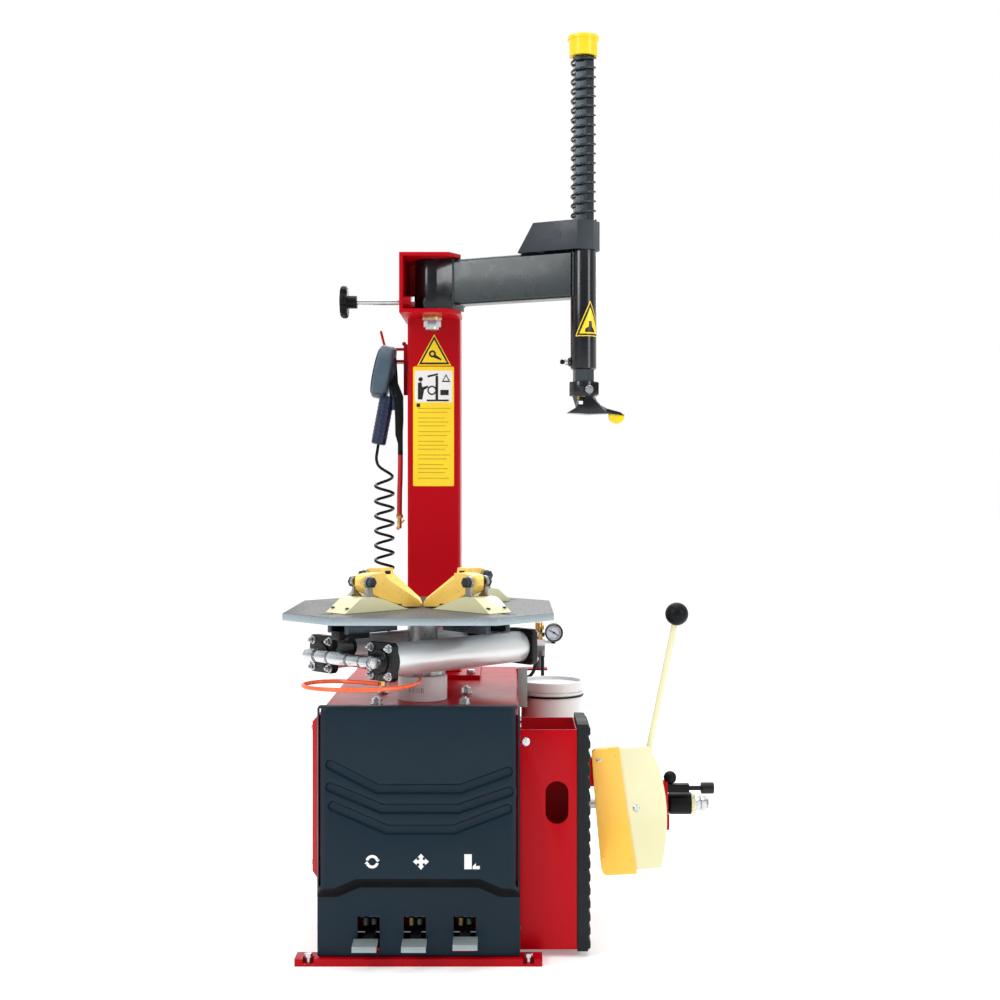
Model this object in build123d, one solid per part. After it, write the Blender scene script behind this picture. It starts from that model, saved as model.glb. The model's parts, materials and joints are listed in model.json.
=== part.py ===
from build123d import *
import os
from math import atan2, cos, degrees, hypot, pi, radians, sin

# A swing-arm tyre changer, in millimetres. +X is to the operator's right, +Y is away from the
# operator and +Z is up. The origin is on the floor, at the centre of the four anchor holes.

# ---- base rails ----
RAIL_HALF = 234.0
RAIL_DEEP = 44.0
RAIL_TALL = 14.0
RAIL_FRONT = 350.0
ANCHOR_X, ANCHOR_Y, ANCHOR_R = 208.0, 318.0, 6.0
POCKET_WIDE, POCKET_DEEP, POCKET_FLOOR = 21.0, 19.0, 4.0

# ---- cabinet ----
CAB_HALF, CAB_FRONT, CAB_BACK = 190.0, -333.0, 400.0
CAB_FLOOR, CAB_TOP, SHEET = 14.0, 472.0, 3.0
COVER_TOP, COVER_FACE, COVER_HALF, COVER_WALL = 491.0, -360.0, 192.0, 4.0
KICK_FACE = -337.0
PANEL_FACE = -208.0
LEDGE_DROP = 22.0
GROOVE_WIDE, GROOVE_DEEP = 20.0, 5.5
GROOVES = (
    [(-165, 382), (-77, 336.5), (80, 336.5), (169, 369)],
    [(-165, 340), (-68, 299), (75, 299), (171, 331.5)],
    [(-160, 304), (-58, 260), (67, 260), (168, 299)],
)
SLOT_X = (-95.0, -7.5, 87.0)
SLOT_WIDE, SLOT_LOW, SLOT_HIGH = 42.0, 23.0, 91.0

# ---- side box and pad ----
BOX_RIGHT, BOX_FRONT, BOX_BACK, BOX_LOW, BOX_HIGH = 302.0, -298.0, -148.0, 16.0, 438.0
PAD_THICK, PAD_LOW, PAD_HIGH = 26.0, 12.0, 448.0
OBLONG_X, OBLONG_Z, OBLONG_WIDE, OBLONG_TALL = 263.0, 298.0, 44.0, 82.0

# ---- turntable ----
TABLE_X, TABLE_Y, TABLE_TOP, TABLE_THICK = -5.0, -120.0, 659.5, 14.0
TABLE_HALF, TABLE_FLAT = 263.0, 155.0
SHAFT_R, RUN_GAP = 30.0, 0.05
JAW_ANGLES = (45.0, 135.0, 225.0, 315.0)
TABLE_SLOT = (100.0, 262.0, 22.0)
GUIDE_IN, GUIDE_OUT, GUIDE_LOW = 95.0, 220.0, 620.0
CLAMP_Z, CLAMP_SIDE, CLAMP_R, CLAMP_BORE = 571.0, 91.0, 32.0, 28.5
CLAMP_END, HEAD_THICK, HEAD_SIDE = 190.0, 15.0, 74.0
BAR_S, BAR_R = -215.0, 9.0
BOLT_S, BOLT_Z = 159.0, 717.0

# ---- column and swing arm ----
COL_HALF, COL_FRONT, COL_TOP = 60.0, 230.0, 1406.0
COL_BASE_TALL = 10.0
BRACKET_FRONT, BRACKET_LOW, BRACKET_TOP, BRACKET_SHEET = 80.0, 1283.0, 1414.0, 8.0
PIVOT_Y, PIN_R = 165.0, 15.0
ARM_ANGLE, ARM_REACH, ARM_THICK = -27.0, 369.0, 50.0
ARM_LOW, ARM_HIGH = 1303.0, 1403.0
TUBE_R, TUBE_BORE, TUBE_LOW, TUBE_HIGH = 27.5, 23.5, 1151.0, 1402.0
HEX_FLATS, HEX_LOW, HEX_HIGH, HEX_TURN = 40.0, 1096.0, 1832.0, -17.7
LOCK_TOP = 1465.0
SPRING_R, SPRING_WIRE, SPRING_TURNS, SPRING_TOP = 25.8, 4.4, 17, 1813.0
CAP_LOW, CAP_HIGH = 1814.0, 1858.0
STOP_Y, STOP_Z, STOP_R = 110.0, 1308.0, 6.5

# ---- bead breaker ----
ROD_Y, ROD_Z, ROD_R = -40.0, 241.0, 11.0
BARREL_R, BARREL_LEFT, BARREL_RIGHT, TRUNNION_X = 93.0, -150.0, 70.0, -40.0
BEAD_PIVOT = (245.0, 330.0)
BEAD_ARM_LOW, BEAD_ARM_HIGH, BEAD_ARM_THICK = 208.0, 274.0, 18.0
BLADE_PIVOT = (462.0, -215.0)
BLADE_MID_Y, BLADE_MID_Z, BLADE_CURVE, BLADE_THICK = -243.0, 279.0, 230.0, 6.0
PLUNGER_Y, PLUNGER_Z = -60.0, 277.0

# ---- pedals ----
PEDAL_AXLE_Y, PEDAL_AXLE_Z = -150.0, 60.0
PAD_X = (-99.0, -7.0, 89.0)

# ---- accessories ----
GUN_X, GUN_Y = -118.0, 285.0
TRIGGER_HINGE = (-89.0, 1112.0)
CURL_X, CURL_TOP, CURL_LOW, CURL_R, CURL_WIRE = -117.0, 953.0, 545.0, 25.0, 3.5
REG_X, REG_Y = 242.0, 360.0
HOSE_ELBOWS = ((-9.0, 504.0), (8.0, 506.0))
GAUGE = (277.0, 350.0, 559.0)
BUCKET_X, BUCKET_Y, BUCKET_R, BUCKET_LOW, BUCKET_HIGH = 263.0, 60.0, 65.5, 335.0, 474.0

BASE = (Align.CENTER, Align.CENTER, Align.MIN)


# ---- small building helpers ----
def block(x0, x1, y0, y1, z0, z1):
    """A box from its low and high coordinates."""
    return Pos((x0 + x1) / 2, (y0 + y1) / 2, (z0 + z1) / 2) * Box(x1 - x0, y1 - y0, z1 - z0)


def rod(start, end, radius):
    """A round bar from one point to another."""
    a, b = Vector(*start), Vector(*end)
    return Plane(a, z_dir=b - a).location * Cylinder(radius, (b - a).length, align=BASE)


def post(x, y, z0, z1, radius):
    """An upright round bar."""
    return Pos(x, y, z0) * Cylinder(radius, z1 - z0, align=BASE)


def upright_prism(points, z0, z1):
    """A plan outline raised from z0 to z1."""
    return Pos(0, 0, z0) * extrude(make_face(Polyline(*points, close=True)), z1 - z0)


def profile_prism(points, y0, y1):
    """An outline drawn in X and Z, thickened from y0 to y1."""
    plane = Plane(origin=(0, y1, 0), x_dir=(1, 0, 0), z_dir=(0, -1, 0))
    return extrude(plane * make_face(Polyline(*points, close=True)), y1 - y0)


def hexagon(flats, z0, z1):
    """An upright hexagonal bar with its corners on X."""
    return Pos(0, 0, z0) * extrude(RegularPolygon(flats / 2, 6, major_radius=False), z1 - z0)


def screw(place, flats, head, shank_r, shank):
    """A hex-headed screw at a place whose Z points out of the head."""
    body = hexagon(flats, 0, head) + post(0, 0, -shank, 0, shank_r)
    return place * body


def solids(*shapes):
    """Every solid of the given shapes, in one flat list."""
    return [solid for shape in shapes for solid in shape.solids()]


def table_place(angle=0.0):
    """The turntable's own axes, turned so that X is a radius at this angle."""
    return Pos(TABLE_X, TABLE_Y, 0) * Rot(0, 0, angle)


def arm_place():
    """The swing arm's own axes: X runs out along the arm from its pivot."""
    return Pos(0, PIVOT_Y, 0) * Rot(0, 0, ARM_ANGLE)


def hex_place():
    """Axes at the hexagonal shaft's centre line, turned with the arm."""
    return arm_place() * Pos(ARM_REACH, 0, 0)


# ---- frame ----
def base_rails():
    def rail(side):
        inner, outer = side * (RAIL_FRONT - RAIL_DEEP), side * RAIL_FRONT
        bar = block(-RAIL_HALF, RAIL_HALF, min(inner, outer), max(inner, outer), 0, RAIL_TALL)
        bar = chamfer(bar.edges().filter_by(Axis.Z), 2)
        for x in (-ANCHOR_X, ANCHOR_X):
            mouth, back = outer, side * (RAIL_FRONT - POCKET_DEEP)
            bar -= block(x - POCKET_WIDE / 2, x + POCKET_WIDE / 2, min(mouth, back) - (side < 0),
                         max(mouth, back) + (side > 0), POCKET_FLOOR, RAIL_TALL + 1)
            bar -= post(x, side * ANCHOR_Y, -1, RAIL_TALL + 1, ANCHOR_R)
        return bar
    return solids(rail(-1), rail(1))


def cabinet_screw_places():
    """Side screws that hold the front cover, one column on each side wall."""
    places = []
    for side in (-1, 1):
        for z in (66.0, 450.0):
            places.append(Pos(side * CAB_HALF, -322, z) * Rot(0, 90 * side, 0))
    places.append(Pos(CAB_HALF, -322, 463) * Rot(0, 90, 0))
    return places


def panel_screw_places():
    return [Pos(PANEL_FACE, y, z) * Rot(0, -90, 0) for y in (-272, 302) for z in (178, 438)]


def gearbox_bolt_places():
    return [Pos(TABLE_X + dx * 87, TABLE_Y + dy * 78, CAB_TOP) for dx in (-1, 1) for dy in (-1, 1)]


def column_bolt_places():
    return [Pos(dx * 86, 290 + dy * 96, CAB_TOP + COL_BASE_TALL) for dx in (-1, 1) for dy in (-1, 1)]


def frame_bolts():
    bolts = [screw(place, 8, 4, 2.5, 5) for place in cabinet_screw_places() + panel_screw_places()]
    for place in gearbox_bolt_places():
        bolts.append(place * (post(0, 0, 0, 2, 12) + hexagon(17, 2, 12) + post(0, 0, 12, 15, 5)))
    for place in column_bolt_places():
        bolts.append(screw(place, 17, 9, 5, 16))
    for x in (-ANCHOR_X, ANCHOR_X):
        for side in (-1, 1):
            place = Pos(x, side * (RAIL_FRONT - 9.5), 16)
            bolts.append(screw(place, 14, 7, 4.5, 16 - POCKET_FLOOR))
    return solids(*bolts)


def cabinet():
    shell = block(-CAB_HALF, CAB_HALF, CAB_FRONT, CAB_BACK, CAB_FLOOR, CAB_TOP)
    shell = fillet(shell.edges().filter_by(Axis.Y).group_by(Axis.Z)[-1], 4)
    shell -= block(-CAB_HALF + SHEET, CAB_HALF - SHEET, CAB_FRONT + SHEET, CAB_BACK - SHEET,
                   CAB_FLOOR - 1, CAB_TOP - SHEET)
    shell -= block(-160, 160, CAB_FRONT - 1, CAB_FRONT + 5, 30, 440)
    shell -= block(-CAB_HALF - 1, -CAB_HALF + 5, -260, 290, 190, 426)
    shell -= block(CAB_HALF - 5, CAB_HALF + 1, ROD_Y - 18, ROD_Y + 68, ROD_Z - 15, ROD_Z + 15)
    shell -= table_place() * post(0, 0, CAB_TOP - 5, CAB_TOP + 1, 40.5)
    shell -= post(CURL_X, 262, CAB_TOP - 5, CAB_TOP + 1, 8)
    for place in cabinet_screw_places():
        shell -= place * post(0, 0, -6, 1, 2.5)
    for place in column_bolt_places():
        shell -= place * post(0, 0, -16, 1, 5)
    return shell


def left_side_panel():
    tray = block(PANEL_FACE, -CAB_HALF, -300, 330, 150, 466)
    tray = chamfer(tray.faces().sort_by(Axis.X)[0].edges(), 14)
    inner = block(PANEL_FACE + 2.5, -CAB_HALF + 1, -297, 327, 153, 463)
    inner = chamfer(inner.faces().sort_by(Axis.X)[0].edges(), 12.5)
    tray -= inner
    for place in panel_screw_places():
        tray -= place * post(0, 0, -6, 1, 2.5)
    return tray


def cover_body(inset):
    """The cover's bulk: a deep upper body with a bevelled lower edge, over a shallow kick panel."""
    half, face, top = COVER_HALF - inset, COVER_FACE + inset, COVER_TOP - inset
    outline = [(-half, top), (half, top), (half, 128 + inset), (154, 128 + inset), (112, 146 + inset),
               (-112, 146 + inset), (-154, 128 + inset), (-half, 128 + inset)]
    upper = profile_prism(outline, face, CAB_FRONT)
    front = upper.faces().sort_by(Axis.Y)[0]
    lower = [edge for edge in front.edges() if edge.center().Z < 175]
    upper = chamfer(lower, LEDGE_DROP)
    if inset:
        return upper
    sides = [edge for edge in upper.edges().filter_by(Axis.Z) if edge.center().Y < face + 1
             and abs(edge.center().X) > half - 1]
    upper = fillet(sides, 21)
    tops = upper.edges().filter_by(Axis.X).group_by(Axis.Z)[-1].sort_by(Axis.Y)[0]
    upper = fillet(tops, 7)
    return upper + block(-half, half, KICK_FACE, CAB_FRONT, CAB_FLOOR + 2, 160)


def grooves(width, depth, draft):
    plane = Plane(origin=(0, COVER_FACE, 0), x_dir=(1, 0, 0), z_dir=(0, -1, 0))
    cut = []
    for points in GROOVES:
        for a, b in zip(points, points[1:]):
            length = hypot(b[0] - a[0], b[1] - a[1])
            angle = degrees(atan2(b[1] - a[1], b[0] - a[0]))
            place = plane.location * Pos((a[0] + b[0]) / 2, (a[1] + b[1]) / 2) * Rot(0, 0, angle)
            cut.append(place * extrude(SlotCenterToCenter(length, width), -depth, taper=draft))
    return cut


def front_cover():
    cavity = cover_body(COVER_WALL)
    cavity = cavity & block(-COVER_HALF, COVER_HALF, -400, CAB_FRONT + 1, 0, 600)
    for rib in grooves(GROOVE_WIDE + 2 * COVER_WALL, GROOVE_DEEP + COVER_WALL, 0):
        cavity -= rib
    cover = cover_body(0) - cavity
    for groove in grooves(GROOVE_WIDE, GROOVE_DEEP, 30):
        cover -= groove
    for x in SLOT_X:
        cover -= block(x - SLOT_WIDE / 2, x + SLOT_WIDE / 2, -345, CAB_FRONT + 1, SLOT_LOW, SLOT_HIGH)
    return cover


def side_box():
    box = block(CAB_HALF, BOX_RIGHT, BOX_FRONT, BOX_BACK, BOX_LOW, BOX_HIGH)
    box = fillet(box.edges().filter_by(Axis.Z), 3)
    box -= block(CAB_HALF + SHEET, BOX_RIGHT - SHEET, BOX_FRONT + SHEET, BOX_BACK - SHEET,
                 BOX_LOW + SHEET, BOX_HIGH + 1)
    straight = (OBLONG_TALL - OBLONG_WIDE) / 2
    for z in (OBLONG_Z - straight, OBLONG_Z + straight):
        box -= rod((OBLONG_X, BOX_FRONT - 1, z), (OBLONG_X, BOX_FRONT + 5, z), OBLONG_WIDE / 2)
    box -= block(OBLONG_X - OBLONG_WIDE / 2, OBLONG_X + OBLONG_WIDE / 2, BOX_FRONT - 1, BOX_FRONT + 5,
                 OBLONG_Z - straight, OBLONG_Z + straight)
    return box


def rubber_pad():
    pad = block(BOX_RIGHT, BOX_RIGHT + PAD_THICK - 5, BOX_FRONT, BOX_BACK, PAD_LOW, PAD_HIGH)
    rib_pitch, rib_tall = 25.6, 17.0
    ribs = int((PAD_HIGH - PAD_LOW) / rib_pitch)
    for index in range(ribs):
        z = PAD_LOW + 4 + index * rib_pitch
        rib = block(BOX_RIGHT + PAD_THICK - 6, BOX_RIGHT + PAD_THICK, BOX_FRONT, BOX_BACK, z, z + rib_tall)
        pad += chamfer(rib.faces().sort_by(Axis.X)[-1].edges(), 3)
    return pad


# ---- drive ----
def gearbox_housing():
    place = table_place()
    body = post(0, 0, 365, CAB_TOP - SHEET, 95) + post(0, 0, CAB_TOP - SHEET, 519, 40)
    body += block(-90, 90, 45, 105, 375, 435)
    body -= post(0, 0, 360, 521, SHAFT_R + RUN_GAP)
    worm = rod((-110, 75, 405), (95, 75, 405), 9 + RUN_GAP)
    return place * (body - worm)


def hub_collar():
    ring = post(0, 0, CAB_TOP, 522, 50)
    ring = chamfer(ring.edges().group_by(Axis.Z)[-1], 3)
    ring -= post(0, 0, CAB_TOP - 1, 530, 40)
    return table_place() * ring


def motor():
    body = rod((-96, 250, 385), (110, 250, 385), 60)
    for index in range(9):
        x = -84 + index * 22
        body += rod((x, 250, 385), (x + 6, 250, 385), 64)
    body += block(-60, 80, 205, 295, 321, 345)
    body -= rod((-97, 250, 385), (-60, 250, 385), 8 + RUN_GAP)
    return body


def gearbox_pulley():
    x, y, z = -107.0, TABLE_Y + 75, 405.0
    wheel = rod((x - 18, y, z), (x, y, z), 50) - rod((x - 12, y, z), (x - 6, y, z), 60)
    wheel += rod((x - 13, y, z), (x - 5, y, z), 44)
    shaft = rod((x - 18, y, z), (TABLE_X + 88, y, z), 9)
    return wheel + shaft


def motor_pulley():
    x, y, z = -107.0, 250.0, 385.0
    wheel = rod((x - 18, y, z), (x, y, z), 27) + rod((x - 18, y, z), (-62, y, z), 8)
    groove = rod((x - 12, y, z), (x - 6, y, z), 30) - rod((x - 12, y, z), (x - 6, y, z), 21)
    return wheel - groove


def drive_belt():
    """A flat band round both pulley grooves, 0.3 mm clear of them."""
    x0, x1 = -118.8, -113.2
    small, big = (250.0, 385.0, 21.3), (TABLE_Y + 75, 405.0, 44.3)

    def band(extra):
        small_disc = rod((x0, *small[:2]), (x1, *small[:2]), small[2] + extra)
        big_disc = rod((x0, *big[:2]), (x1, *big[:2]), big[2] + extra)
        dy, dz = small[0] - big[0], small[1] - big[1]
        span = hypot(dy, dz)
        lean = (big[2] - small[2]) / span
        up = (1 - lean * lean) ** 0.5
        corners = []
        for side in (1, -1):
            ny = (dy * lean - side * dz * up) / span
            nz = (dz * lean + side * dy * up) / span
            line = [(c[0] + ny * (c[2] + extra), c[1] + nz * (c[2] + extra)) for c in (big, small)]
            corners += line if side > 0 else line[::-1]
        plane = Plane(origin=(x0, 0, 0), x_dir=(0, 1, 0), z_dir=(1, 0, 0))
        middle = extrude(plane * make_face(Polyline(*corners, close=True)), x1 - x0)
        return small_disc + big_disc + middle
    return band(4.5) - band(0)


def inner_frame():
    """Crossbars for the bead cylinder's trunnions, the motor shelf and the pedal bearings."""
    wall = CAB_HALF - SHEET
    low = block(-wall, wall, ROD_Y - 22, ROD_Y + 22, 122, 130)
    high = block(-wall, wall, ROD_Y - 22, ROD_Y + 22, 352 - 12, 348)
    pins = [post(TRUNNION_X, ROD_Y, z0, z1, 12 + RUN_GAP) for z0, z1 in ((120, 132), (338, 350))]
    low -= pins[0]
    high -= pins[1]
    shelf = block(-wall, wall, 195, 305, 314, 321)
    pedal_base = block(-wall, wall, -190, -120, 18, 24)
    ears = []
    for x in (-145, -53, 40, 137):
        ear = block(x - 3, x + 3, -170, -130, 24, 80)
        ears.append(ear - rod((x - 5, PEDAL_AXLE_Y, PEDAL_AXLE_Z), (x + 5, PEDAL_AXLE_Y, PEDAL_AXLE_Z), 6))
    axle = rod((-148, PEDAL_AXLE_Y, PEDAL_AXLE_Z), (140, PEDAL_AXLE_Y, PEDAL_AXLE_Z), 6)
    valves = [rod((x, -290, 100), (x, -200, 100), 11) for x in SLOT_X]
    rail = block(-wall, wall, -230, -200, 111, 117)
    return solids(low, high, shelf, pedal_base, axle, rail, *ears, *valves)


def pedal(index):
    x = PAD_X[index]
    slot = SLOT_X[index]
    lift = 4.0 if index == 2 else 0.0
    arm = block(slot - 10, slot + 10, -348, PEDAL_AXLE_Y, 44 + lift, 52 + lift)
    hub = rod((slot - 12, PEDAL_AXLE_Y, PEDAL_AXLE_Z), (slot + 12, PEDAL_AXLE_Y, PEDAL_AXLE_Z), 13)
    side = [(-348, 52 + lift), (-386, 48 + lift), (-388, 38 + lift), (-384, 38 + lift),
            (-381, 44 + lift), (-348, 45 + lift)]
    plane = Plane(origin=(x - 23, 0, 0), x_dir=(0, 1, 0), z_dir=(1, 0, 0))
    foot = extrude(plane * make_face(Polyline(*side, close=True)), 46)
    lever = arm + hub + foot
    axle = rod((slot - 20, PEDAL_AXLE_Y, PEDAL_AXLE_Z), (slot + 20, PEDAL_AXLE_Y, PEDAL_AXLE_Z),
               6 + RUN_GAP)
    return lever - axle


# ---- turntable ----
def turntable_shaft():
    shaft = post(0, 0, 372, 633, SHAFT_R) + post(0, 0, 633, TABLE_TOP - TABLE_THICK, 75)
    ring = post(0, 0, 523, 545, 46) + rod((0, -40, HOSE_LOOP_Z), (0, -50, HOSE_LOOP_Z), 5.5)
    return table_place() * (shaft + ring)


def octagon(half, flat):
    return [(half, -flat), (half, flat), (flat, half), (-flat, half), (-half, flat), (-half, -flat),
            (-flat, -half), (flat, -half)]


def turntable_plate():
    """The octagonal plate, its four radial slots, and the guide rails welded below each slot."""
    low = TABLE_TOP - TABLE_THICK
    plate = upright_prism(octagon(TABLE_HALF, TABLE_FLAT), low, TABLE_TOP)
    plate -= post(0, 0, low - 1, TABLE_TOP + 1, 19)
    start, stop, width = TABLE_SLOT
    rails = []
    for angle in JAW_ANGLES:
        plate -= Rot(0, 0, angle) * block(start, stop, -width / 2, width / 2, low - 1, TABLE_TOP + 1)
        for side in (-1, 1):
            edges = sorted((side * 20.5, side * 32))
            lips = sorted((side * 13, side * 32))
            rail = block(GUIDE_IN, GUIDE_OUT, *edges, GUIDE_LOW, low)
            rail += block(GUIDE_IN, GUIDE_OUT, *lips, GUIDE_LOW, GUIDE_LOW + 4)
            rails.append(Rot(0, 0, angle) * rail)
    return solids(*[table_place() * shape for shape in (plate, *rails)])


def jaw_slide(angle):
    """A pressed carrier on the plate, its neck through the slot, its shoe below, and the jaw's ears."""
    top = TABLE_TOP + 0.5
    arch = [(62, top), (120, top + 20), (150, top + 28), (188, top + 27), (226, top)]
    line = Spline(arch[:4]) + Line(arch[3], arch[4])
    side = make_face(line + Line(arch[4], arch[0]))
    plane = Plane(origin=(0, 30, 0), x_dir=(1, 0, 0), z_dir=(0, -1, 0))
    carrier = extrude(plane * side, 60)
    carrier -= block(90, 205, -27, 27, top - 1, top + 8)
    neck = block(120, 180, -9.5, 9.5, 640, top + 9)
    shoe = block(112, 180, -20, 20, GUIDE_LOW + 4.5, TABLE_TOP - TABLE_THICK - 0.5)
    carrier += neck + shoe
    for side_sign in (-1, 1):
        edges = sorted((side_sign * 18, side_sign * 24))
        ear = block(BOLT_S - 7, BOLT_S + 7, *edges, top + 20, BOLT_Z)
        foot = block(BOLT_S - 16, BOLT_S + 16, *edges, top + 20, top + 34)
        ear += chamfer(foot.edges().filter_by(Axis.Y).group_by(Axis.Z)[-1], 7)
        ear += rod((BOLT_S, edges[0], BOLT_Z), (BOLT_S, edges[1], BOLT_Z), 12)
        carrier += ear
    carrier -= rod((BOLT_S, -30, BOLT_Z), (BOLT_S, 30, BOLT_Z), 6)
    return table_place(angle) * carrier


def jaw(angle):
    """A clamping jaw: a long toe that reaches the centre, and a tall hooked heel with its cross bolt."""
    base = TABLE_TOP + 1
    side = [(7, 0), (7, 6), (96, 55), (111, 62), (113, 73), (143, 73), (163, 69), (171, 62), (171, 50),
            (158, 38), (124, 24), (60, 3.5)]
    body = profile_prism([(r, base + z) for r, z in side], -17, 17)
    plan = [(6, -4), (23, -14), (96, -15), (112, -17), (160, -17), (172, -7), (172, 7), (160, 17),
            (112, 17), (96, 15), (23, 14), (6, 4)]
    body = body & upright_prism(plan, base - 1, base + 100)
    body -= rod((BOLT_S, -30, BOLT_Z), (BOLT_S, 30, BOLT_Z), 6)
    bolt = rod((BOLT_S, -24, BOLT_Z), (BOLT_S, 24, BOLT_Z), 6)
    heads = []
    for sign in (-1, 1):
        place = Pos(BOLT_S, sign * 24, BOLT_Z) * Rot(-90 * sign, 0, 0)
        heads.append(place * hexagon(19, 0, 8))
    bolt = bolt + heads[0] + heads[1]
    return solids(*[table_place(angle) * shape for shape in (body, bolt)])


def clamp_axis(side):
    """Axes of one clamping cylinder: X along its bore, at its own height and offset."""
    return table_place(45) * Pos(0, side * CLAMP_SIDE, CLAMP_Z)


def clamp_barrels():
    barrels = []
    for side in (-1, 1):
        tube = rod((-175, 0, 0), (CLAMP_END, 0, 0), CLAMP_R)
        tube -= rod((-176, 0, 0), (CLAMP_END + 1, 0, 0), CLAMP_BORE)
        barrels.append(clamp_axis(side) * tube)
    return solids(*barrels)


def clamp_heads():
    """Four square heads with their tie bolts, and the yoke that joins the far pair to their slide."""
    half = HEAD_SIDE / 2
    pieces = []
    for side in (-1, 1):
        place = clamp_axis(side)
        near = block(-CLAMP_END, -CLAMP_END + HEAD_THICK, -half, half, -half, half)
        near = chamfer(near.edges().filter_by(Axis.X), 7)
        near -= rod((-CLAMP_END - 1, 0, 0), (-170, 0, 0), 10 + RUN_GAP)
        far = block(CLAMP_END, CLAMP_END + HEAD_THICK, -half, half, -half, half)
        far = chamfer(far.edges().filter_by(Axis.X), 7)
        if side < 0:
            near += post(-182, 0, HOSE_LOOP_Z - 5 - CLAMP_Z, -half, 5.5)
        pieces += [place * near, place * far]
    low = GUIDE_LOW + 4.5
    yoke = block(205, 213, -CLAMP_SIDE - 22, CLAMP_SIDE + 22, CLAMP_Z - 26, CLAMP_Z + 26)
    yoke += block(205, 213, -12, 12, CLAMP_Z, low) + block(150, 213, -12, 12, low - 8, low)
    pieces.append(table_place(45) * yoke)
    return solids(*pieces)


def clamp_rods():
    """Two piston rods, the cross bar that joins them, and the bent bracket up to the jaw slide."""
    pieces = []
    place = table_place(45)
    reach = CLAMP_SIDE + 5
    bar = rod((BAR_S, -reach, CLAMP_Z), (BAR_S, reach, CLAMP_Z), BAR_R)
    for y0, y1, radius in ((-reach + 2, -74, 13), (-66, -34, 12), (-26, 26, 12.5), (34, 66, 12),
                           (74, reach - 2, 13)):
        bar += rod((BAR_S, y0, CLAMP_Z), (BAR_S, y1, CLAMP_Z), radius)
    for sign in (-1, 1):
        bar += Pos(BAR_S, sign * reach, CLAMP_Z) * Rot(-90 * sign, 0, 0) * hexagon(20, 0, 9)
    pieces.append(place * bar)
    for side in (-1, 1):
        stem = rod((BAR_S, 0, 0), (-8, 0, 0), 10) + rod((-8, 0, 0), (16, 0, 0), CLAMP_BORE - RUN_GAP)
        stem = clamp_axis(side) * stem - place * bar
        pieces.append(stem.solids().sort_by(Axis.X)[-1])
    low = GUIDE_LOW + 4.5
    bend = trace(ThreePointArc((-214, 612), (-196, 595), (-214, 578)), 8)
    plane = Plane(origin=(0, 25, 0), x_dir=(1, 0, 0), z_dir=(0, -1, 0))
    bracket = extrude(plane * bend, 50) + block(-226, -150, -12, 12, 608, low)
    bracket = place * bracket - place * bar
    pieces.append(bracket.solids().sort_by(SortBy.VOLUME)[-1])
    return solids(*pieces)


def tube_along(points, radius, ratio=0.45):
    """A round tube along straight runs with an arc at each corner as large as its runs allow."""
    vectors = [Vector(*point) for point in points]
    radii = []
    for a, b, c in zip(vectors, vectors[1:], vectors[2:]):
        turn = radians((b - a).get_angle(c - b))
        shorter = min((b - a).length, (c - b).length)
        radii.append(ratio * shorter / (sin(turn / 2) / cos(turn / 2)))
    path = FilletPolyline(*vectors, radius=radii)
    start = Plane(origin=vectors[0], z_dir=vectors[1] - vectors[0])
    tube = sweep(start * Circle(radius), path=path)
    print("tube radii", [round(r) for r in radii], "volume ratio",
          round(tube.volume / (pi * radius ** 2 * path.length), 3))
    return tube


HOSE_LOOP_Z = 528.0
ORANGE_HOSE = [(-72.5, -192.5), (-112, -170), (-156, -152), (-198, -164), (-219, -202), (-206, -246),
               (-168, -270), (-120, -280), (-72, -276), (-32, -252), (-4, -212), (6, -156), (0, -102),
               (0, -50)]


def orange_hose():
    """The air hose that loops below the cylinders' heads, from one head's elbow to the swivel ring."""
    points = [(TABLE_X + x, TABLE_Y + y, HOSE_LOOP_Z) for x, y in ORANGE_HOSE]
    return tube_along(points, 4)


# ---- column and swing arm ----
def column():
    """The square column on its base plate, with the forked bracket for the arm at its top."""
    back = COL_FRONT + 2 * COL_HALF
    body = block(-COL_HALF, COL_HALF, COL_FRONT, back, CAB_TOP + COL_BASE_TALL, COL_TOP)
    body = fillet(body.edges().filter_by(Axis.Z), 7)
    body -= block(-COL_HALF + 5, COL_HALF - 5, COL_FRONT + 5, back - 5, CAB_TOP + 5, COL_TOP + 1)
    plate = block(-106, 106, 168, 399, CAB_TOP, CAB_TOP + COL_BASE_TALL)
    for place in column_bolt_places():
        plate -= place * post(0, 0, -16, 1, 5)
    plate -= post(CURL_X, 262, CAB_TOP - 1, CAB_TOP + 20, 9)
    left = block(-68, -COL_HALF, BRACKET_FRONT, back - 20, BRACKET_LOW, BRACKET_TOP)
    corners = [(-68, BRACKET_FRONT), (40, BRACKET_FRONT), (65, BRACKET_FRONT + 40), (65, back - 20),
               (-68, back - 20)]
    top = upright_prism(corners, BRACKET_TOP - BRACKET_SHEET, BRACKET_TOP)
    shelf = [(-68, BRACKET_FRONT), (40, BRACKET_FRONT), (65, BRACKET_FRONT + 40), (65, COL_FRONT),
             (-68, COL_FRONT)]
    bottom = upright_prism(shelf, BRACKET_LOW, BRACKET_LOW + BRACKET_SHEET)
    whole = body + plate + left + top + bottom
    whole = whole + rod((-60, STOP_Y, STOP_Z), (-44, STOP_Y, STOP_Z), 14)
    whole -= post(0, PIVOT_Y, BRACKET_LOW - 1, BRACKET_TOP + 1, PIN_R)
    whole -= rod((-80, STOP_Y, STOP_Z), (-30, STOP_Y, STOP_Z), STOP_R + RUN_GAP)
    return whole


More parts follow.
